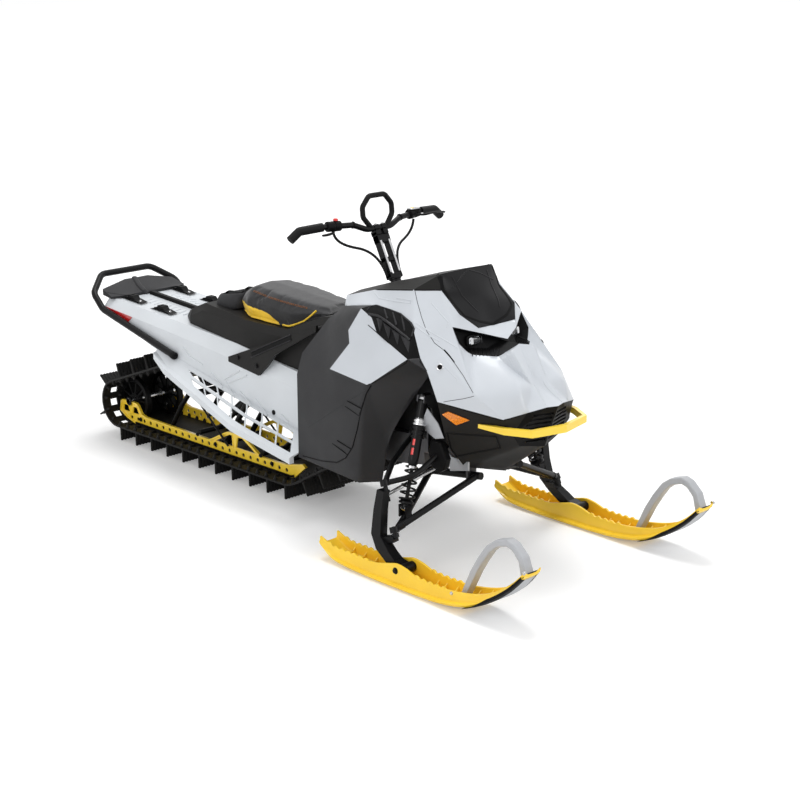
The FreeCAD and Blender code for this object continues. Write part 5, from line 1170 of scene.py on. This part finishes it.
def make_cushion():
    mesh = NODES["seat"].data.copy()
    mesh.name = "seat_cushion"
    piece = new_object("seat_cushion", mesh)
    remesh = piece.modifiers.new("remesh", "REMESH")
    remesh.mode = "VOXEL"
    remesh.voxel_size = CUSHION_VOXEL
    settle(piece)
    round_form = bmesh.new()
    round_form.from_mesh(piece.data)
    for _ in range(CUSHION_SMOOTHING):
        bmesh.ops.smooth_vert(round_form, verts=round_form.verts, factor=0.5, use_axis_x=True,
                              use_axis_y=True, use_axis_z=True)
    round_form.normal_update()
    for corner in round_form.verts:
        corner.co -= corner.normal * CUSHION_INSET
    round_form.to_mesh(piece.data)
    round_form.free()
    blow_up(piece)
    fine = piece.modifiers.new("fine", "SUBSURF")
    fine.levels = fine.render_levels = 1
    settle(piece)
    piece.data.shade_smooth()
    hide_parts("seat")
    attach(piece, "chassis")
    SKINS["seat"] = piece
    return piece


def cover_cushion(piece):
    """Gives each face of the cushion its part of the cover: top, side or yellow wedge. The top's lighter
    vinyl is a painted sheen and the sides' darker vinyl is painted shade.
    """
    seam = [(place.x, place.z) for place, _ in seen_line(SEAT_SEAM, "seat")]
    front = seam[-1]
    side = seam + [(front[0] + 80, front[1] - 6), (front[0] + 80, 600), (-1400, 600), (-1400, seam[0][1] + 4)]
    corners = [seen(pixel, "seat")[0] for pixel in SEAT_WEDGE]
    wedge = [(place.x - back, place.z - down) for place, (back, down) in zip(corners, WEDGE_REACH)]
    piece.data.materials.clear()
    for material in (SEAT_VINYL_PAINTED_SHEEN, SEAT_SIDE_PAINTED_SHADE, SEAT_YELLOW):
        piece.data.materials.append(material)
    # Faces out at the sides take the darker vinyl (painted shade) or the yellow wedge; the rest take the
    # lighter top vinyl (a painted sheen).
    for face in piece.data.polygons:
        middle = home(face.center)
        flat, wide = (middle.x, middle.z), abs(middle.y) > COVER_SIDE
        face.material_index = 2 if wide and inside(flat, wedge) else 1 if wide and inside(flat, side) else 0


def stitch(piece, line, aside, spacing=9, length=5, radius=0.55):
    """Short threads along places on a surface."""
    travelled = 0.0
    for (place, normal), (following, _) in zip(line, line[1:]):
        step = (following - place).length
        if step == 0:
            continue
        along = (following - place) / step
        across = along.cross(normal).normalized() * aside
        reach = spacing - travelled % spacing
        while reach <= step:
            middle = place + along * reach + across + normal * 0.5
            half = along * length / 2
            piece.tube([middle - half, middle + normal * 0.5, middle + half], radius, 0, 6)
            reach += spacing
        travelled += step


def make_seat_trim():
    threads = Piece("seat_stitches", "chassis", THREAD)
    seam = seen_line(SEAT_SEAM, "seat")
    for aside in (-2.2, 2.2):
        stitch(threads, seam, aside=aside)
    threads.both_sides().done()
    welt = Piece("seat_piping", "chassis", SEAT_YELLOW, SEAT_SIDE_PAINTED_SHADE)
    welt.bead(seen_line(SEAT_PIPING, "seat"), 8, 5)
    welt.bead(seen_line(SEAT_WEDGE[:3], "seat"), 4, 1.6, 1)
    welt.bead(seam, 2.2, 0.8, 1)
    welt.both_sides().done()


POUCH_MIDDLE, POUCH_LEVEL, POUCH_SLOPE, POUCH_WIDE, POUCH_DEEP = -1418, 702, 0.16, 122, 84
POUCH_STAGES = ((-6, 0.97), (6, 1.0), (38, 0.96), (52, 0.9), (56, 0.86), (52, 0.8), (40, 0.76), (36, 0.7))
POUCH_STRAP = (((-1500, 716), 8), ((-1492, 742), 9), ((-1470, 754), 9), ((-1430, 758), 9), ((-1380, 764), 8))


def make_storage():
    """A soft pouch behind the cushion, with a rolled rim and two straps."""
    pouch = Piece("seat_pouch", "chassis", DARK_PLASTIC, BLACK_PLASTIC)
    rows = []
    for rise, share in POUCH_STAGES:
        centre = Vector((POUCH_MIDDLE + rise * 0.12, 0, POUCH_LEVEL + rise))
        ring = oval(centre, ACROSS, ALONG, POUCH_WIDE * share, POUCH_DEEP * share, 4.5, 48)
        rows.append([point + UP * (point.x - POUCH_MIDDLE) * POUCH_SLOPE for point in ring])
    pouch.solid(rows)
    for y in (-52, 52):
        pouch.tube([(x, y, z) for (x, z), _ in POUCH_STRAP], [radius for _, radius in POUCH_STRAP], 1, 12,
                   flat=0.35, spin=math.pi / 2)
    pouch.done(smooth_angle=50)


# Slide rails: thin webs with holes between an upper and a lower flange

RAIL_OUTLINE = [(-2182, 112), (-2176, 158), (-2160, 168), (-2062, 168), (-2046, 160), (-2022, 126),
                (-1990, 118), (-1540, 116), (-1424, 174), (-1408, 178), (-1312, 178), (-1298, 172),
                (-1200, 116), (-1040, 120), (-938, 144), (-922, 132), (-985, 80), (-1010, 72.3),
                (-2070, 72.3), (-2130, 87)]
RAIL_WINDOWS = [[(-1500, 119), (-1408, 165), (-1392, 165), (-1388, 119)],
                [(-1362, 119), (-1352, 165), (-1322, 165), (-1232, 119)],
                [(-2158, 118), (-2156, 146), (-2128, 146), (-2112, 118)],
                [(-2090, 118), (-2086, 146), (-2062, 146), (-2044, 118)]]
RAIL_MIDDLE, RAIL_WEB, RAIL_FLANGE, RAIL_LIP = 120, 3.5, 6, 6
RAIL_HOLE_LEVEL, RAIL_HOLE_PITCH, RAIL_HOLE_HALF = 96, 46, 8.5
RAIL_SLIDER = ((-2066, 79), (-1012, 79), (-988, 86))
RAIL_BOLTS = ((-1500, 104), (-1130, 104), (-1620, 122), (-1200, 122), (-2030, 100))


def inset(outline, width):
    """The outline moved inward by a width, corner by corner."""
    area = sum(x1 * z2 - x2 * z1 for (x1, z1), (x2, z2) in zip(outline, outline[1:] + outline[:1]))
    turn = 1 if area > 0 else -1
    result = []
    for i, here in enumerate(outline):
        before, after = Vector(outline[i - 1]), Vector(outline[(i + 1) % len(outline)])
        first = (Vector(here) - before).normalized()
        second = (after - Vector(here)).normalized()
        left_first = Vector((-first.y, first.x)) * turn
        left_second = Vector((-second.y, second.x)) * turn
        mitre = (left_first + left_second).normalized()
        result.append(tuple(Vector(here) + mitre * min(width / max(0.4, mitre.dot(left_first)), 2.5 * width)))
    return result


def pierced(piece, outline, holes, y_low, y_high):
    """A plate in an upright plane along x, with holes right through it."""
    loops = [outline] + holes
    flat = [point for loop in loops for point in loop]
    triangles = tessellate_polygon([[Vector((x, z, 0)) for x, z in loop] for loop in loops])
    for y in (y_low, y_high):
        piece.add([(x, y, z) for x, z in flat], [tuple(triangle) for triangle in triangles])
    for loop in loops:
        piece.rows([[(x, y_low, z) for x, z in loop], [(x, y_high, z) for x, z in loop]], closed=True)


def flange(piece, outline, width, y_low, y_high):
    """A band just inside an outline, wider across than the web."""
    inner = inset(outline, width)
    rows = [[(x, y_low, z) for x, z in outline], [(x, y_high, z) for x, z in outline],
            [(x, y_high, z) for x, z in inner], [(x, y_low, z) for x, z in inner]]
    piece.rows(rows, closed=True, ring=True)


def round_hole(x, z, half, count=12):
    return [(x + half * math.cos(2 * math.pi * i / count), z + half * math.sin(2 * math.pi * i / count))
            for i in range(count)]


def make_rails():
    rails = Piece("slide_rail_plates", "chassis", YELLOW_PAINT, BLACK_PLASTIC, BLACK_STEEL)
    centre = -RAIL_MIDDLE
    holes = [round_hole(-2100 + RAIL_HOLE_PITCH * i, RAIL_HOLE_LEVEL, RAIL_HOLE_HALF) for i in range(24)]
    pierced(rails, RAIL_OUTLINE, holes + RAIL_WINDOWS, centre - RAIL_WEB / 2, centre + RAIL_WEB / 2)
    flange(rails, RAIL_OUTLINE, RAIL_FLANGE, centre - RAIL_LIP, centre + RAIL_LIP)
    for window in RAIL_WINDOWS:
        flange(rails, inset(window, -4), 4, centre - 4, centre + 4)
    rails.rows([[(x, centre + y, z + rise) for y, rise in ((-8.5, -6), (-9.5, -2), (-9.5, 3), (-6.5, 4))]
                for x, z in RAIL_SLIDER], 1)
    rails.lathe((-2110, centre - 6, 168), -ACROSS, ((-2, 19), (3, 19), (5, 16), (6, 12)), 2, 24)
    for x, z in RAIL_BOLTS:
        rails.bolt((x, centre - 5.5, z), -ACROSS, 7, 2)
    rails.both_sides().done(replaces=("slide_rails",))


# Ski trim: bolts, and at each tip a black edge over a grey sole with a bar across its end

SKI_BOLTS = (((395.3, 570.8), 9, 0), ((451.5, 593.3), 5, 1), ((524, 573), 6, 1))
TIP_EDGE_START, TIP_EDGE_FULL, TIP_EDGE_END = 340, 450, 592


def make_ski_trim(side, name):
    trim = Piece(name + "_trim", name, BLACK_STEEL, BRIGHT_STEEL, BLACK_PLASTIC, GREY_PLASTIC)
    for pixel, radius, slot in SKI_BOLTS:
        place, normal = (Vector((v.x, v.y * side / RIGHT, v.z)) for v in seen(pixel, "ski_right"))
        trim.bolt(place, normal, radius, slot)
    middle = SKI_MIDDLE * side
    stations = [smooth_station(SKI_STATIONS, x) for x in range(TIP_EDGE_START, TIP_EDGE_END, 9)]
    for turn in (-1, 1):
        rows = []
        for x, half, low, floor, _ in stations:
            rise = floor - low
            share = min(1, (x - TIP_EDGE_START) / (TIP_EDGE_FULL - TIP_EDGE_START))
            rows.append([(x, middle + turn * y, low + (z - low) * share) for y, z in
                         ((half * 0.6, low - 1.2), (half * 0.8, low + 1.0),
                          (half * 0.93 + 1.6, low + rise * 0.5), (half * 0.95 + 1.8, low + rise * 0.8),
                          (half + 1.6, floor + 1), (half + 1.2, floor + 6))])
        trim.rows(rows, 2)
    trim.rows([[(x, middle + half * 0.62 * across, low - 1.0) for across in (-1, -0.5, 0, 0.5, 1)]
               for x, half, low, _, _ in stations], 3)
    _, half, _, floor, _ = stations[-1]
    trim.tube([(584, middle + half * across, floor + 4) for across in (-0.96, -0.5, 0.5, 0.96)], 5, 2, 12)
    trim.done()


# Rods inside the track, and the tail

ARM_LINE, ARM_PLANE = [(173.5, 424), (182, 405), (189, 394)], -100
LIMITER_LINE, LIMITER_PLANE = [(195, 396), (228, 446)], -132


def make_skid_rods():
    rods = Piece("skid_rods", "chassis", BLACK_STEEL, BRIGHT_STEEL)
    rods.tube([seen_at(pixel, ARM_PLANE) for pixel in ARM_LINE], 13, 0, 14, flat=0.7)
    rods.tube([seen_at(pixel, LIMITER_PLANE) for pixel in LIMITER_LINE], 4.5, 0, 12)
    for pixel, plane, radius in ((ARM_LINE[-1], ARM_PLANE, 11), (LIMITER_LINE[0], LIMITER_PLANE, 7)):
        end = seen_at(pixel, plane)
        rods.tube([end, (end.x, 0, end.z)], radius, 0, 14)
    rods.both_sides().done()


def make_tail_ribs():
    tail = Piece("tail_moulding_ribs", "chassis", DARK_PLASTIC)
    trace(tail, "tail_rib", ("snow_flap",), 26, 7)
    trace(tail, "tail_creases", ("snow_flap",), 5, 1.6)
    tail.done()


ANCHOR_PLACES, ANCHOR_SIDE = (-2040, -1830), -130
ANCHOR_PROFILE = ((-78, 0.5), (-60, 4), (-38, 9), (38, 9), (62, 4), (84, 0.5))


def make_anchor_feet():
    anchors = Piece("cargo_anchor_feet", "chassis", BLACK_PLASTIC, BRIGHT_STEEL)
    for x in ANCHOR_PLACES:
        top, _ = hit_from_above(x, ANCHOR_SIDE, "tunnel")
        anchors.rows([[top + Vector((dx, dy * 20, rise)) for dy in (-1, -0.6, 0.6, 1)]
                      for dx, rise in ANCHOR_PROFILE])
        for dx in (-52, 54):
            anchors.bolt(top + Vector((dx, 0, 4)), (0.1, 0, 1), 5, 1)
    anchors.both_sides().done()


# Studio

FLOOR_GLOW = {"From Min": 1.8, "From Max": 6.0, "To Min": 0.18, "To Max": 0.42}
LAMPS = {"key": ((-0.7, 1.0, 6.5), 185), "right": ((0.5, -6.5, 3.0), 88), "front": ((6.0, 1.0, 3.0), 72),
         "left": ((-2.0, 5.0, 3.5), 20)}
LAMP_TARGET, LAMP_SIZE = Vector((0, 0, 0.5)), 3.0


def make_floor():
    """White ground; away from the machine, where the lamps reach less, it glows a little to the camera."""
    bpy.ops.mesh.primitive_plane_add(size=60, location=(0, 0, -0.0005))
    floor = bpy.context.object
    floor.name = "floor"
    material, tree_of, surface = shader("floor_white", (0.9, 0.9, 0.9), 0.9, Specular_IOR_Level=0.05)
    place = add_node(tree_of, "NewGeometry").outputs["Position"]
    away = add_node(tree_of, "VectorMath", {0: place}, operation="LENGTH").outputs["Value"]
    spread = add_node(tree_of, "MapRange", {"Value": away, **FLOOR_GLOW}).outputs["Result"]
    camera_ray = add_node(tree_of, "LightPath").outputs["Is Camera Ray"]
    strength = add_node(tree_of, "Math", {0: camera_ray, 1: spread}, operation="MULTIPLY").outputs["Value"]
    glow = add_node(tree_of, "Emission", {"Color": (1, 1, 1, 1), "Strength": strength}).outputs["Emission"]
    both = add_node(tree_of, "AddShader", {0: surface.outputs["BSDF"], 1: glow}).outputs["Shader"]
    tree_of.links.new(both, tree_of.nodes["Material Output"].inputs["Surface"])
    floor.data.materials.append(material)


def make_world():
    """White to the camera, to gloss and through glass; a little dimmer on the object."""
    world = bpy.data.worlds.new("studio")
    bpy.context.scene.world = world
    world.use_nodes = True
    tree_of = world.node_tree
    background = tree_of.nodes["Background"]
    background.inputs["Color"].default_value = (1, 1, 1, 1)
    paths = add_node(tree_of, "LightPath").outputs
    level = paths["Is Camera Ray"]
    for path in ("Is Glossy Ray", "Is Transmission Ray"):
        level = add_node(tree_of, "Math", {0: level, 1: paths[path]}, operation="MAXIMUM").outputs["Value"]
    strength = add_node(tree_of, "MapRange", {"Value": level, "To Min": 0.7, "To Max": 1.0}).outputs["Result"]
    tree_of.links.new(strength, background.inputs["Strength"])


def make_lamp(name, place, power):
    data = bpy.data.lights.new(name, "AREA")
    data.shape = "DISK"
    data.size = LAMP_SIZE
    data.energy = power
    lamp = new_object(name, data)
    lamp.location = place
    lamp.rotation_euler = (LAMP_TARGET - Vector(place)).to_track_quat("-Z", "Y").to_euler()


def make_studio():
    bpy.context.scene.view_settings.view_transform = "Standard"
    make_floor()
    make_world()
    for name, (place, power) in LAMPS.items():
        make_lamp(name, place, power)


# Everything in its order: details that lie on a skin come after it

make_camera()
make_cable(RIGHT, "control_cable_right")
make_cable(LEFT, "control_cable_left")
for panel, (shallow, crisp) in SOFT_PANELS.items():
    soften(panel, shallow, crisp)
dress_nodes()
make_track()
make_ski(RIGHT, "ski_right")
make_ski(LEFT, "ski_left")
for make in (make_hood_seams, make_hood_creases, make_hood_knobs, make_screen_border, make_vent_details,
             make_side_panel_details, make_tunnel_marks, make_plugs, make_brace_details, make_belly_rim,
             make_shock_tower, make_lamps, make_lamp_ribs, make_shock_bodies, make_coils, make_post,
             make_throttle, make_brake, make_cable_ties):
    make()
make_ski_trim(RIGHT, "ski_right")
make_ski_trim(LEFT, "ski_left")
cover_cushion(make_cushion())
for make in (make_seat_trim, make_storage, make_rails, make_skid_rods, make_tail_ribs, make_anchor_feet,
             make_studio):
    make()
